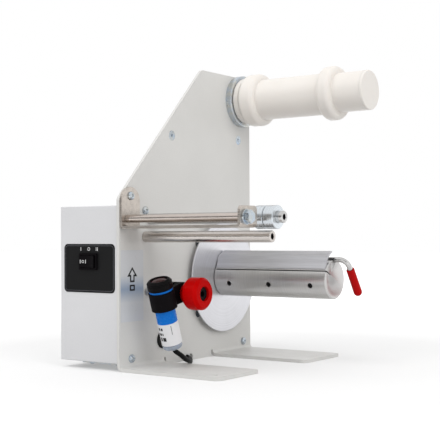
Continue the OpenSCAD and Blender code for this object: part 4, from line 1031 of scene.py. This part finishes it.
@dataclass
class DirectionSign:
    """The plate on the frame, printed with an arrow and a square."""

    low: Pair = (1.8, 43.0)
    width: float = 31.0
    face_x: float = 0.3
    square_up: float = 30.0
    print_t: float = 0.05

    def arrow(self) -> list[list[Pair]]:
        """Outline of the upward arrow, drawn as a line of its own width."""
        outer = [
            (0.0, 48.5), (6.8, 40.0), (3.15, 40.0), (3.15, 34.9), (-3.15, 34.9), (-3.15, 40.0), (-6.8, 40.0)
        ]
        inner = [
            (0.0, 45.94), (3.5, 41.6), (1.55, 41.6), (1.55, 36.5), (-1.55, 36.5), (-1.55, 41.6), (-3.5, 41.6)
        ]
        return band_outlines(outer, inner)

    def square(self) -> list[list[Pair]]:
        """Outline of the square under the arrow."""
        middle = (0.0, self.square_up)
        return band_outlines(round_outline(7.0, 5.4, 0.4, middle), round_outline(3.4, 2.6, 0.3, middle))

    def build(self, shop: Workshop) -> None:
        """Dresses the plate and prints it."""
        shop.dress_nodes("direction_plate")
        middle = Vector((self.face_x, self.low[0] + self.width / 2, self.low[1]))
        for name, shapes in (("sign_arrow", self.arrow()), ("sign_square", self.square())):
            mark = shop.slab(name, shapes, middle, DEEP, UP, self.print_t)
            shop.hand_over(mark, PRINT_BLACK, "direction_plate")


@dataclass
class PeelBracket:
    """The stainless bracket with its roller, bolt and washer."""

    axis: Axis = field(default_factory=lambda: Axis.shaft(8.5, 134.3))
    end_x: float = 127.5
    washer_t: float = 2.0
    washer_r: float = 6.5
    head_flats: float = 5.0
    head_t: float = 4.3
    bolt_r: float = 3.0

    def build(self, shop: Workshop) -> None:
        """Builds the bolt and the washer, and dresses the rest."""
        shop.dress_nodes("peel_bracket", "peel_roller")
        start, r, rim = self.end_x, self.bolt_r, self.washer_r
        x = start + self.washer_t
        flat, end = self.head_flats, x + self.head_t
        bolt = profile(
            (0.0, -10.0), (r - 0.5, -10.0), (r, -9.4), (r, x), (flat * 0.98, x, 6), (flat, x + 0.15, 6),
            (flat, end - 0.45, 6), (flat * 0.94, end, 6), (0.0, end),
        )
        shop.turned_node("peel_bolt", bolt, self.axis, SCREW_ZINC, 72)
        washer = profile(
            (r + 0.12, start), (rim - 0.2, start), (rim, start + 0.25), (rim, x - 0.25), (rim - 0.2, x),
            (r + 0.12, x)
        )
        shop.turned_node("peel_washer", washer, self.axis, SCREW_ZINC, ring_shaped=True)


@dataclass
class GuideBars:
    """The upper guide shaft with its two set collars, and the lower guide bar."""

    shaft: Axis = field(default_factory=lambda: Axis.shaft(*SHAFT_AT))
    lower: Axis = field(default_factory=lambda: Axis.shaft(36.3, 118.2))
    bar_r: float = 5.0
    shaft_l: float = 143.5
    lower_l: float = 135.9
    collar_r: float = 10.0
    collar_w: float = 10.0
    collars: tuple[tuple[str, float], ...] = (("inner_collar", 117.1), ("outer_collar", 127.5))

    def bar(self, shop: Workshop, node: str, axis: Axis, end: float, finish: Finish) -> None:
        """Builds a bar with a chamfered end and a tapped hole, lined with a dark sleeve that paints the shade
        inside the hole.

        Args:
            shop: The workshop that makes it.
            node: The node that it replaces.
            axis: Its axis.
            end: Its length.
            finish: Its finish.
        """
        r = self.bar_r
        rings = profile(
            (0.0, 0.0), (r - 0.3, 0.0), (r, 0.3), (r, end - 0.7), (r - 0.2, end - 0.3), (r - 0.6, end),
            (2.9, end),
            (2.5, end - 0.5), (2.45, end - 11.5), (0.0, end - 12.0),
        )
        shop.turned_node(node, rings, axis, finish)
        # A thin dark sleeve inside the tapped hole paints the shade there.
        shade_sleeve = profile((2.2, end - 11.0), (2.42, end - 11.0), (2.42, end - 0.6), (2.2, end - 0.9))
        shop.hand_over(shop.turned(f"{node}_turned_thread", shade_sleeve, axis, 64, True), BORE_SHADE_PAINT, node)

    def collar(self, shop: Workshop, node: str, start: float) -> None:
        """Builds a set collar with rounded rims.

        Args:
            shop: The workshop that makes it.
            node: The node that it replaces.
            start: Where it starts along the shaft.
        """
        r, end = self.collar_r, start + self.collar_w
        rings = softened(
            [
                (5.06, start + 0.3, 0), (5.4, start, 0), (r, start, 0.7), (r, end, 0.7), (5.4, end, 0),
                (5.06, end - 0.3, 0)
            ]
        )
        shop.turned_node(node, rings, self.shaft, COLLAR_METAL, ring_shaped=True)

    def build(self, shop: Workshop) -> None:
        """Builds the bars and collars, and dresses the grub screws."""
        self.bar(shop, "guide_shaft", self.shaft, self.shaft_l, GROUND_STEEL)
        self.bar(shop, "lower_guide_bar", self.lower, self.lower_l, LOWER_STEEL)
        for node, start in self.collars:
            self.collar(shop, node, start)
        shop.dress_nodes("inner_collar_screw", "outer_collar_screw")


@dataclass
class SupplyHub:
    """The free turning hub that holds the roll, with its backing disc and axle."""

    axis: Axis = field(default_factory=lambda: Axis.shaft(191.0, 256.5))
    root_r: float = 23.0
    hub_r: float = 20.25
    end_r: float = 19.0
    ring_r: float = 26.25
    first: Pair = (13.0, 31.0)
    second: Pair = (102.0, 117.0)
    end_x: float = 149.0
    bulge: float = 5.0
    segments: int = 160

    def build(self, shop: Workshop) -> None:
        """Builds the hub and its cap, and dresses the rest."""
        bulge, end = self.bulge, self.end_x
        near, far = self.first, self.second
        hub = softened(
            [
                (5.06, 6.8, 0), (self.root_r, 6.8, 0.5), (self.root_r, near[0], 0.6),
                (self.ring_r, near[0], bulge),
                (self.ring_r, near[1], bulge), (self.hub_r, near[1], 0.5), (self.hub_r, far[0], 0.5),
                (self.ring_r, far[0], bulge), (self.ring_r, far[1], bulge), (self.end_r, far[1], 0.5),
                (self.end_r, end - 3.05, 0.2), (11.0, end - 3.05, 0), (11.0, end - 11.8, 0),
                (5.06, end - 11.8, 0),
            ],
            steps=9,
        )
        shop.turned_node("supply_hub", hub, self.axis, HUB_PLASTIC, self.segments, True)
        cap = softened(
            [
                (0.0, end - 6, 0), (10.9, end - 6, 0.3), (10.9, end - 2.95, 0), (self.end_r, end - 2.95, 0.2),
                (self.end_r, end, 1.1), (0.0, end, 0),
            ],
            steps=7,
        )
        shop.turned_node("hub_end_cap", cap, self.axis, HUB_PLASTIC, self.segments)
        shop.dress_nodes("supply_disc", "supply_axle", "axle_retainer")


@dataclass
class RewindMandrel:
    """The driven mandrel with its jaw, flange, screws and liner rod."""

    centre: Pair = MANDREL_AT
    flange_r: float = 53.75
    flange_xs: tuple[float, ...] = (0.8, 5.0, 6.5, 7.0)
    screw_angle: float = 17.0
    screw_xs: tuple[float, ...] = (23.8, 68.8, 114.1)
    rod_at: Pair = (0.2, 18.5)
    rod_r: float = 2.5
    rod_span: Pair = (21.0, 143.2)
    bend_r: float = 8.0
    lean: float = 34.6
    grip_r: float = 4.0
    grip_l: float = 30.0
    grip_gap: float = 3.0

    def leg(self) -> Vector:
        """Direction of the rod's bent end."""
        lean = math.radians(self.lean)
        return Vector((0.0, math.sin(lean), -math.cos(lean)))

    def bend(self) -> list[Vector]:
        """Route of the rod: along its channel, round the bend and down to the grip's inside."""
        start, end = self.rod_span
        base = Vector((0.0, self.centre[0] + self.rod_at[0], self.centre[1] + self.rod_at[1]))
        leg = self.leg()
        route = [base + Vector((x, 0.0, 0.0)) for x in (start, start + 0.4, start + 0.8, 60.0)]
        for k in range(19):
            a = math.radians(5.0 * k)
            ahead = Vector((end - self.bend_r + self.bend_r * math.sin(a), 0.0, 0.0))
            route.append(base + ahead + leg * self.bend_r * (1 - math.cos(a)))
        inside = self.bend_r + self.grip_gap + self.grip_l - self.grip_r - 0.2
        route.append(base + Vector((end, 0.0, 0.0)) + leg * inside)
        return route

    def build(self, shop: Workshop) -> None:
        """Builds the rod, its grip, the flange and the screws, and dresses the rest."""
        shop.dress_nodes("mandrel_body", "mandrel_jaw", "rewind_spindle")
        axis = Axis.shaft(*self.centre)
        back, rear, front, end = self.flange_xs
        flange = softened(
            [
                (6.0, back, 0), (11.0, back, 0.3), (11.0, rear, 0), (self.flange_r, rear, 0.4),
                (self.flange_r, front, 0.4), (15.0, front, 0), (15.0, end, 0), (6.0, end, 0),
            ]
        )
        shop.turned_node("rewind_flange", flange, axis, FLANGE_METAL, 160, True)
        tip = math.radians(self.screw_angle)
        outward = Vector((0.0, -math.cos(tip), -math.sin(tip)))
        base = Vector((0.0, *self.centre)) + outward * 6.0
        rings = profile(
            (0.0, 0.0), (2.3, 0.0), (2.45, 0.3), (2.45, 6.6), (2.2, 7.0), (1.35, 7.0, 6), (1.25, 6.8, 6),
            (1.25, 4.0, 6),
            (0.0, 3.6),
        )
        places = [(base + Vector((x, 0.0, 0.0)), outward) for x in self.screw_xs]
        ScrewSet("mandrel_screw_set", rings, places, SCREW_BLACK, "mandrel_set_screws").build(shop)
        shop.hand_over(
            shop.swept("liner_rod_bent", self.bend(), self.rod_r), GROUND_STEEL, "liner_rod", ["liner_rod"]
        )
        leg = self.leg()
        start = Vector((self.rod_span[1], self.centre[0] + self.rod_at[0], self.centre[1] + self.rod_at[1]))
        grip_axis = Axis(start + leg * (self.bend_r + self.grip_gap), leg, OUT)
        r, end = self.grip_r, self.grip_l
        grip = softened(
            [
                (2.5, 0.6, 0), (2.9, 0.0, 0), (r - 0.2, 0.0, 0.5), (r, end - r, 0), (r, end, r - 0.02),
                (0.0, end, 0)
            ],
            8
        )
        shop.turned_node("rod_grip", [Ring(0.0, 0.6), *grip], grip_axis, GRIP_RED, 64)


@dataclass
class LabelSensor:
    """The sensor in its clamp, with the post, the stud, the knob and the cable."""

    stud: Pair = STUD_AT
    x: float = 35.0
    lean: float = 18.3
    reach: float = 21.6
    ring_up: float = 2.0
    half_ring: float = 8.0
    barrel_r: float = 9.0
    tail: float = 32.5
    flange_t: float = 1.9
    head_r: float = 11.25
    head_h: float = 9.0
    lens_r: float = 7.4
    knob_x: float = 41.5
    knob_r: float = 14.3
    knob_l: float = 23.0
    cable_d: float = 4.4
    label_marks: tuple[tuple[float, float, float, float], ...] = (
        (14.8, 17.2, -121.0, -107.0), (14.8, 17.2, -101.0, -89.0), (10.2, 12.4, -119.0, -101.0),
        (10.2, 12.4, -96.0, -90.0),
        (5.0, 8.4, -118.0, -104.0), (5.0, 8.4, -98.0, -78.0), (10.5, 18.6, -39.0, -36.5),
    )
    route: tuple[tuple[float, float, float], ...] = (
        (35, 32.95, 19.35), (35, 34.3, 17.6), (35, 36.6, 16.1), (34.9, 39.8, 14.5), (34.6, 43.4, 12.7),
        (33.9, 47.4, 10.7), (32.8, 51.6, 8.8), (31.3, 56.2, 7.1), (29.4, 60.9, 6),
        (27.2, 65.2, 5), (24.6, 69.6, 3.7), (21.4, 74.4, 2.8),
        (17.8, 79.6, 2.6), (13.8, 85, 2.6), (9.4, 90.6, 2.6), (4.6, 96.2, 2.6), (-0.4, 101, 2.6),
        (-5.6, 105.4, 2.6), (-11.2, 108.2, 3.2), (-16.4, 109.2, 5.6),
        (-20.8, 108.8, 9.4), (-24.8, 107.4, 14), (-28.8, 104.8, 18.6), (-32.8, 101, 22.6),
        (-36.4, 96, 25.8), (-39.4, 89.8, 28), (-41.8, 83, 29.4), (-43.6, 76, 30), (-45, 70.2, 30),
        (-46.9, 65.8, 30), (-49.4, 63.2, 30), (-51.85, 63, 30),
    )

    def axis(self) -> Axis:
        """The sensor's own axis, up from the middle of the clamp ring."""
        a = math.radians(self.lean)
        up = Vector((0.0, -math.sin(a), math.cos(a)))
        back = Vector((0.0, math.cos(a), math.sin(a)))
        base = Vector((self.x, *self.stud)) - back * self.reach + up * self.ring_up
        return Axis(base, up, OUT)

    def cable(self, shop: Workshop) -> None:
        spots = [bench(*spot) for spot in self.route]
        curve = bpy.data.curves.new("sensor_cable_sheath", "CURVE")
        curve.dimensions = "3D"
        curve.bevel_depth = self.cable_d / 2 * MM
        curve.bevel_resolution = 6
        curve.resolution_u = 6
        curve.use_fill_caps = True
        spline = curve.splines.new("BEZIER")
        spline.bezier_points.add(len(spots) - 1)
        for knot, spot in zip(spline.bezier_points, spots):
            knot.co = spot
            knot.handle_left_type = knot.handle_right_type = "AUTO"
        piece = bpy.data.objects.new("sensor_cable_sheath", curve)
        bpy.context.collection.objects.link(piece)
        shop.hand_over(piece, CABLE_PVC, "sensor_cable", ["sensor_cable"])

    def housing(self, shop: Workshop) -> None:
        """Builds the barrel with its flange, label, head, lens and end cap."""
        axis = self.axis()
        h, r = self.half_ring, self.barrel_r
        low = -h - self.tail
        top = h + self.flange_t
        barrel = softened(
            [
                (0.0, low, 0), (r - 0.3, low, 0.3), (r, low + 1.2, 0), (r, h, 0), (r + 1.3, h, 0.3),
                (r + 1.3, top, 0.3), (0.0, top, 0),
            ]
        )
        shop.turned_node("sensor_barrel", barrel, axis, SENSOR_BLUE)
        label = shop.wrapped("sensor_label", axis, r, (low + 0.2, low + 20.2), (-150.0, 150.0), 0.1, 72)
        shop.hand_over(label, LABEL_FILM, "sensor_barrel")
        dark = shop.wrapped(
            "sensor_label_dark", axis, r + 0.1, (low + 0.6, low + 18.6), (62.0, 118.0), 0.05, 24
        )
        shop.hand_over(dark, HEAD_BLACK, "sensor_barrel")
        for k, (start, end, first, last) in enumerate(self.label_marks):
            bar = shop.wrapped(
                f"sensor_label_mark_{k}", axis, r + 0.1, (low + start, low + end), (first, last), 0.05, 16
            )
            shop.hand_over(bar, PRINT_BLACK, "sensor_barrel")
        head = softened(
            [
                (0.0, top, 0), (self.head_r - 0.8, top, 0.3), (self.head_r, top + 0.8, 0.4),
                (self.head_r, top + 5.2, 0.2),
                (self.head_r - 0.35, top + 5.4, 0.1), (self.head_r - 0.35, top + 5.9, 0.1),
                (self.head_r, top + 6.1, 0.2),
                (self.head_r, top + self.head_h - 2.2, 1.2), (self.head_r - 2.2, top + self.head_h, 0.8),
                (7.9, top + self.head_h, 0.2),
                (7.55, top + self.head_h - 3.0, 0), (0.0, top + self.head_h - 3.0, 0),
            ],
            4,
        )
        shop.turned_node("sensor_head", head, axis, HEAD_BLACK)
        base, lens_r = top + self.head_h - 2.98, self.lens_r
        lens = profile((0.0, base), (lens_r, base), (lens_r, base + 1.3))
        for k in range(1, 10):
            a = math.radians(9 * k)
            lens.append(Ring(lens_r * math.cos(a), base + 1.3 + 1.4 * math.sin(a)))
        lens.append(Ring(0.0, base + 2.7))
        shop.turned_node("sensor_lens", lens, axis, LENS_RED)
        shop.dress_nodes("sensor_end_cap")

    def knob(self, shop: Workshop) -> None:
        """Builds the red knob with its conical neck, and the black insert in its face."""
        x, r, length = self.knob_x, self.knob_r, self.knob_l
        rings = softened(
            [
                (3.06, x + 0.3, 0), (3.4, x, 0), (5.6, x, 0.2), (8.5, x + 2.5, 0.6), (r, x + 9.5, 2.2),
                (r, x + length - 2.4, 1.2),
                (r - 2.4, x + length, 1.0), (6.5, x + length, 0.3), (6.28, x + length - 8.0, 0),
                (3.06, x + length - 8.0, 0),
            ],
            7,
        )
        axis = Axis.shaft(*self.stud)
        shop.turned_node("sensor_knob", rings, axis, KNOB_RED, 128, True)
        foot, face = x + length - 7.98, x + length - 2.0
        insert = profile(
            (0.0, foot), (6.05, foot), (6.1, face - 0.4), (5.8, face), (3.0, face, 6), (2.5, face - 0.3, 6),
            (2.5, face - 3.9, 6), (0.0, face - 4.0),
        )
        shop.turned_node("knob_insert", insert, axis, HEAD_BLACK)

    def build(self, shop: Workshop) -> None:
        """Builds the whole sensor."""
        self.housing(shop)
        self.knob(shop)
        shop.dress_nodes("sensor_clamp", "sensor_post", "sensor_stud")


# ---- Studio ----


@dataclass
class Studio:
    """Camera, floor, lamps and the grey cards that the metal reflects."""

    eye: tuple[float, float, float] = (585.16, -679.96, 119.49)
    yaw: float = 35.055
    pitch: float = -0.847
    roll: float = -0.268
    lens: float = 83.333
    target: tuple[float, float, float] = (0.02, 0.0, 0.13)
    ambient: float = 0.7
    paper: float = 0.68
    floor_glow: Pair = (0.28, 1.0)
    glow_reach: Pair = (0.28, 0.8)
    lamps: tuple[tuple[str, tuple[float, float, float], float, float], ...] = (
        ("key_lamp", (-0.7, -1.5, 2.1), 2.0, 22.0),
        ("side_lamp", (2.0, -0.7, 1.2), 1.6, 15.0),
        ("top_lamp", (0.1, 0.1, 2.2), 2.0, 3.0),
    )
    cards: tuple[tuple[str, tuple[float, float, float], Pair, Pair], ...] = (
        ("front_card", (-1.1, -1.75, 0.55), (2.2, 1.1), (0.1, 0.5)),
        ("camera_card", (1.3, -1.8, 0.5), (1.6, 1.0), (0.15, 0.5)),
    )

    def camera(self) -> None:
        """Sets the camera where the photograph was taken from."""
        yaw, pitch, roll = (math.radians(a) for a in (self.yaw, self.pitch, self.roll))
        ahead = Vector((-math.sin(yaw) * math.cos(pitch), math.cos(yaw) * math.cos(pitch), -math.sin(pitch)))
        level = Vector((math.cos(yaw), math.sin(yaw), 0.0))
        upright = level.cross(ahead)
        right = level * math.cos(roll) + upright * math.sin(roll)
        up = upright * math.cos(roll) - level * math.sin(roll)
        data = bpy.data.cameras.new("photo_camera")
        data.sensor_width, data.sensor_fit = 36.0, "HORIZONTAL"
        data.lens = self.lens
        data.clip_start, data.clip_end = 0.05, 40.0
        made = bpy.data.objects.new("photo_camera", data)
        turn = Matrix((right, up, -ahead)).transposed().to_4x4()
        made.matrix_world = Matrix.Translation(bench(*self.eye)) @ turn
        bpy.context.collection.objects.link(made)
        bpy.context.scene.camera = made

    def backdrop_share(self, tree: bpy.types.NodeTree) -> bpy.types.NodeSocket:
        """One for camera, glossy and transmission rays, and zero for the rest."""
        path = tree.nodes.new("ShaderNodeLightPath")
        total = path.outputs["Is Camera Ray"]
        for name in ("Is Glossy Ray", "Is Transmission Ray"):
            both = tree.nodes.new("ShaderNodeMath")
            both.operation = "MAXIMUM"
            tree.links.new(total, both.inputs[0])
            tree.links.new(path.outputs[name], both.inputs[1])
            total = both.outputs[0]
        return total

    def surroundings(self) -> None:
        """Sets a white background over a softer ambient light."""
        world = bpy.data.worlds.new("studio_white")
        world.use_nodes = True
        tree = world.node_tree
        background = tree.nodes["Background"]
        background.inputs["Color"].default_value = (1.0, 1.0, 1.0, 1.0)
        spread = tree.nodes.new("ShaderNodeMapRange")
        tree.links.new(self.backdrop_share(tree), spread.inputs["Value"])
        spread.inputs["To Min"].default_value = self.ambient
        spread.inputs["To Max"].default_value = 1.0
        tree.links.new(spread.outputs[0], background.inputs["Strength"])
        bpy.context.scene.world = world

    def floor(self) -> None:
        """Lays the pale floor."""
        mesh = bpy.data.meshes.new("studio_floor")
        mesh.from_pydata([(-5, -5, 0), (5, -5, 0), (5, 5, 0), (-5, 5, 0)], [], [(0, 1, 2, 3)])
        made = bpy.data.objects.new("studio_floor", mesh)
        bpy.context.collection.objects.link(made)
        tree = ShaderTree("floor_paper")
        tree.surface(
            Base_Color=(self.paper, self.paper, self.paper, 1.0), Roughness=0.8, Specular_IOR_Level=0.1,
            Emission_Color=(1.0, 1.0, 1.0, 1.0),
        )
        away = tree.node("ShaderNodeVectorMath", {0: tree.coords}, operation="LENGTH").outputs["Value"]
        glow = tree.ranged(away, self.glow_reach[0], self.glow_reach[1], *self.floor_glow)
        share = self.backdrop_share(tree.tree)
        tree.surface(Emission_Strength=tree.reckon("MULTIPLY", share, glow))
        mesh.materials.append(tree.material)

    def lamp(self, name: str, place: Vector, size: float, power: float) -> None:
        """Hangs a square soft lamp that points at the machine and that reflections leave out."""
        data = bpy.data.lights.new(name, "AREA")
        data.shape, data.size, data.energy = "SQUARE", size, power
        made = bpy.data.objects.new(name, data)
        made.location = place
        made.rotation_euler = (Vector(self.target) - place).to_track_quat("-Z", "Y").to_euler()
        made.visible_glossy = False
        bpy.context.collection.objects.link(made)

    def card(self, name: str, middle: Vector, size: Pair, levels: Pair) -> None:
        """Stands a grey card that only reflections see.

        Args:
            name: The card's name.
            middle: Its middle in metres.
            size: Its width and height.
            levels: Brightness at its foot and at its top.
        """
        width, height = size
        level = Vector((-middle.y, middle.x, 0.0)).normalized() * width / 2
        rise = Vector((0.0, 0.0, height / 2))
        mesh = bpy.data.meshes.new(name)
        mesh.from_pydata(
            [middle - level - rise, middle + level - rise, middle + level + rise, middle - level + rise], [],
            [(0, 1, 2, 3)]
        )
        made = bpy.data.objects.new(name, mesh)
        bpy.context.collection.objects.link(made)
        tree = ShaderTree(name)
        height_at = tree.node("ShaderNodeSeparateXYZ", {0: tree.coords}).outputs[2]
        glow = tree.ranged(height_at, *levels, middle.z - height / 2, middle.z + height / 2)
        tree.surface(
            Base_Color=(0.0, 0.0, 0.0, 1.0), Roughness=1.0, Specular_IOR_Level=0.0,
            Emission_Color=(1.0, 1.0, 1.0, 1.0), Emission_Strength=glow,
        )
        mesh.materials.append(tree.material)
        made.visible_camera = made.visible_diffuse = made.visible_shadow = made.visible_transmission = False

    def build(self) -> None:
        """Sets up the whole studio."""
        self.camera()
        self.surroundings()
        self.floor()
        for name, place, size, power in self.lamps:
            self.lamp(name, Vector(place), size, power)
        for name, middle, size, levels in self.cards:
            self.card(name, Vector(middle), size, levels)
        bpy.context.scene.view_settings.view_transform = "Standard"


def main() -> None:
    """Builds the studio and every sub-assembly in order."""
    logging.basicConfig(level=logging.INFO, format="%(name)s: %(message)s")
    Studio().build()
    shop = Workshop()
    sensor = LabelSensor()
    sensor.cable(shop)
    for part in (
        FrameAndScrews(), DriveBox(), DirectionSign(), PeelBracket(), GuideBars(), SupplyHub(),
        RewindMandrel(), sensor,
    ):
        LOG.info("building %s", type(part).__name__)
        part.build(shop)
    LOG.info("%d pieces", shop.count)


if __name__ == "__main__":
    main()
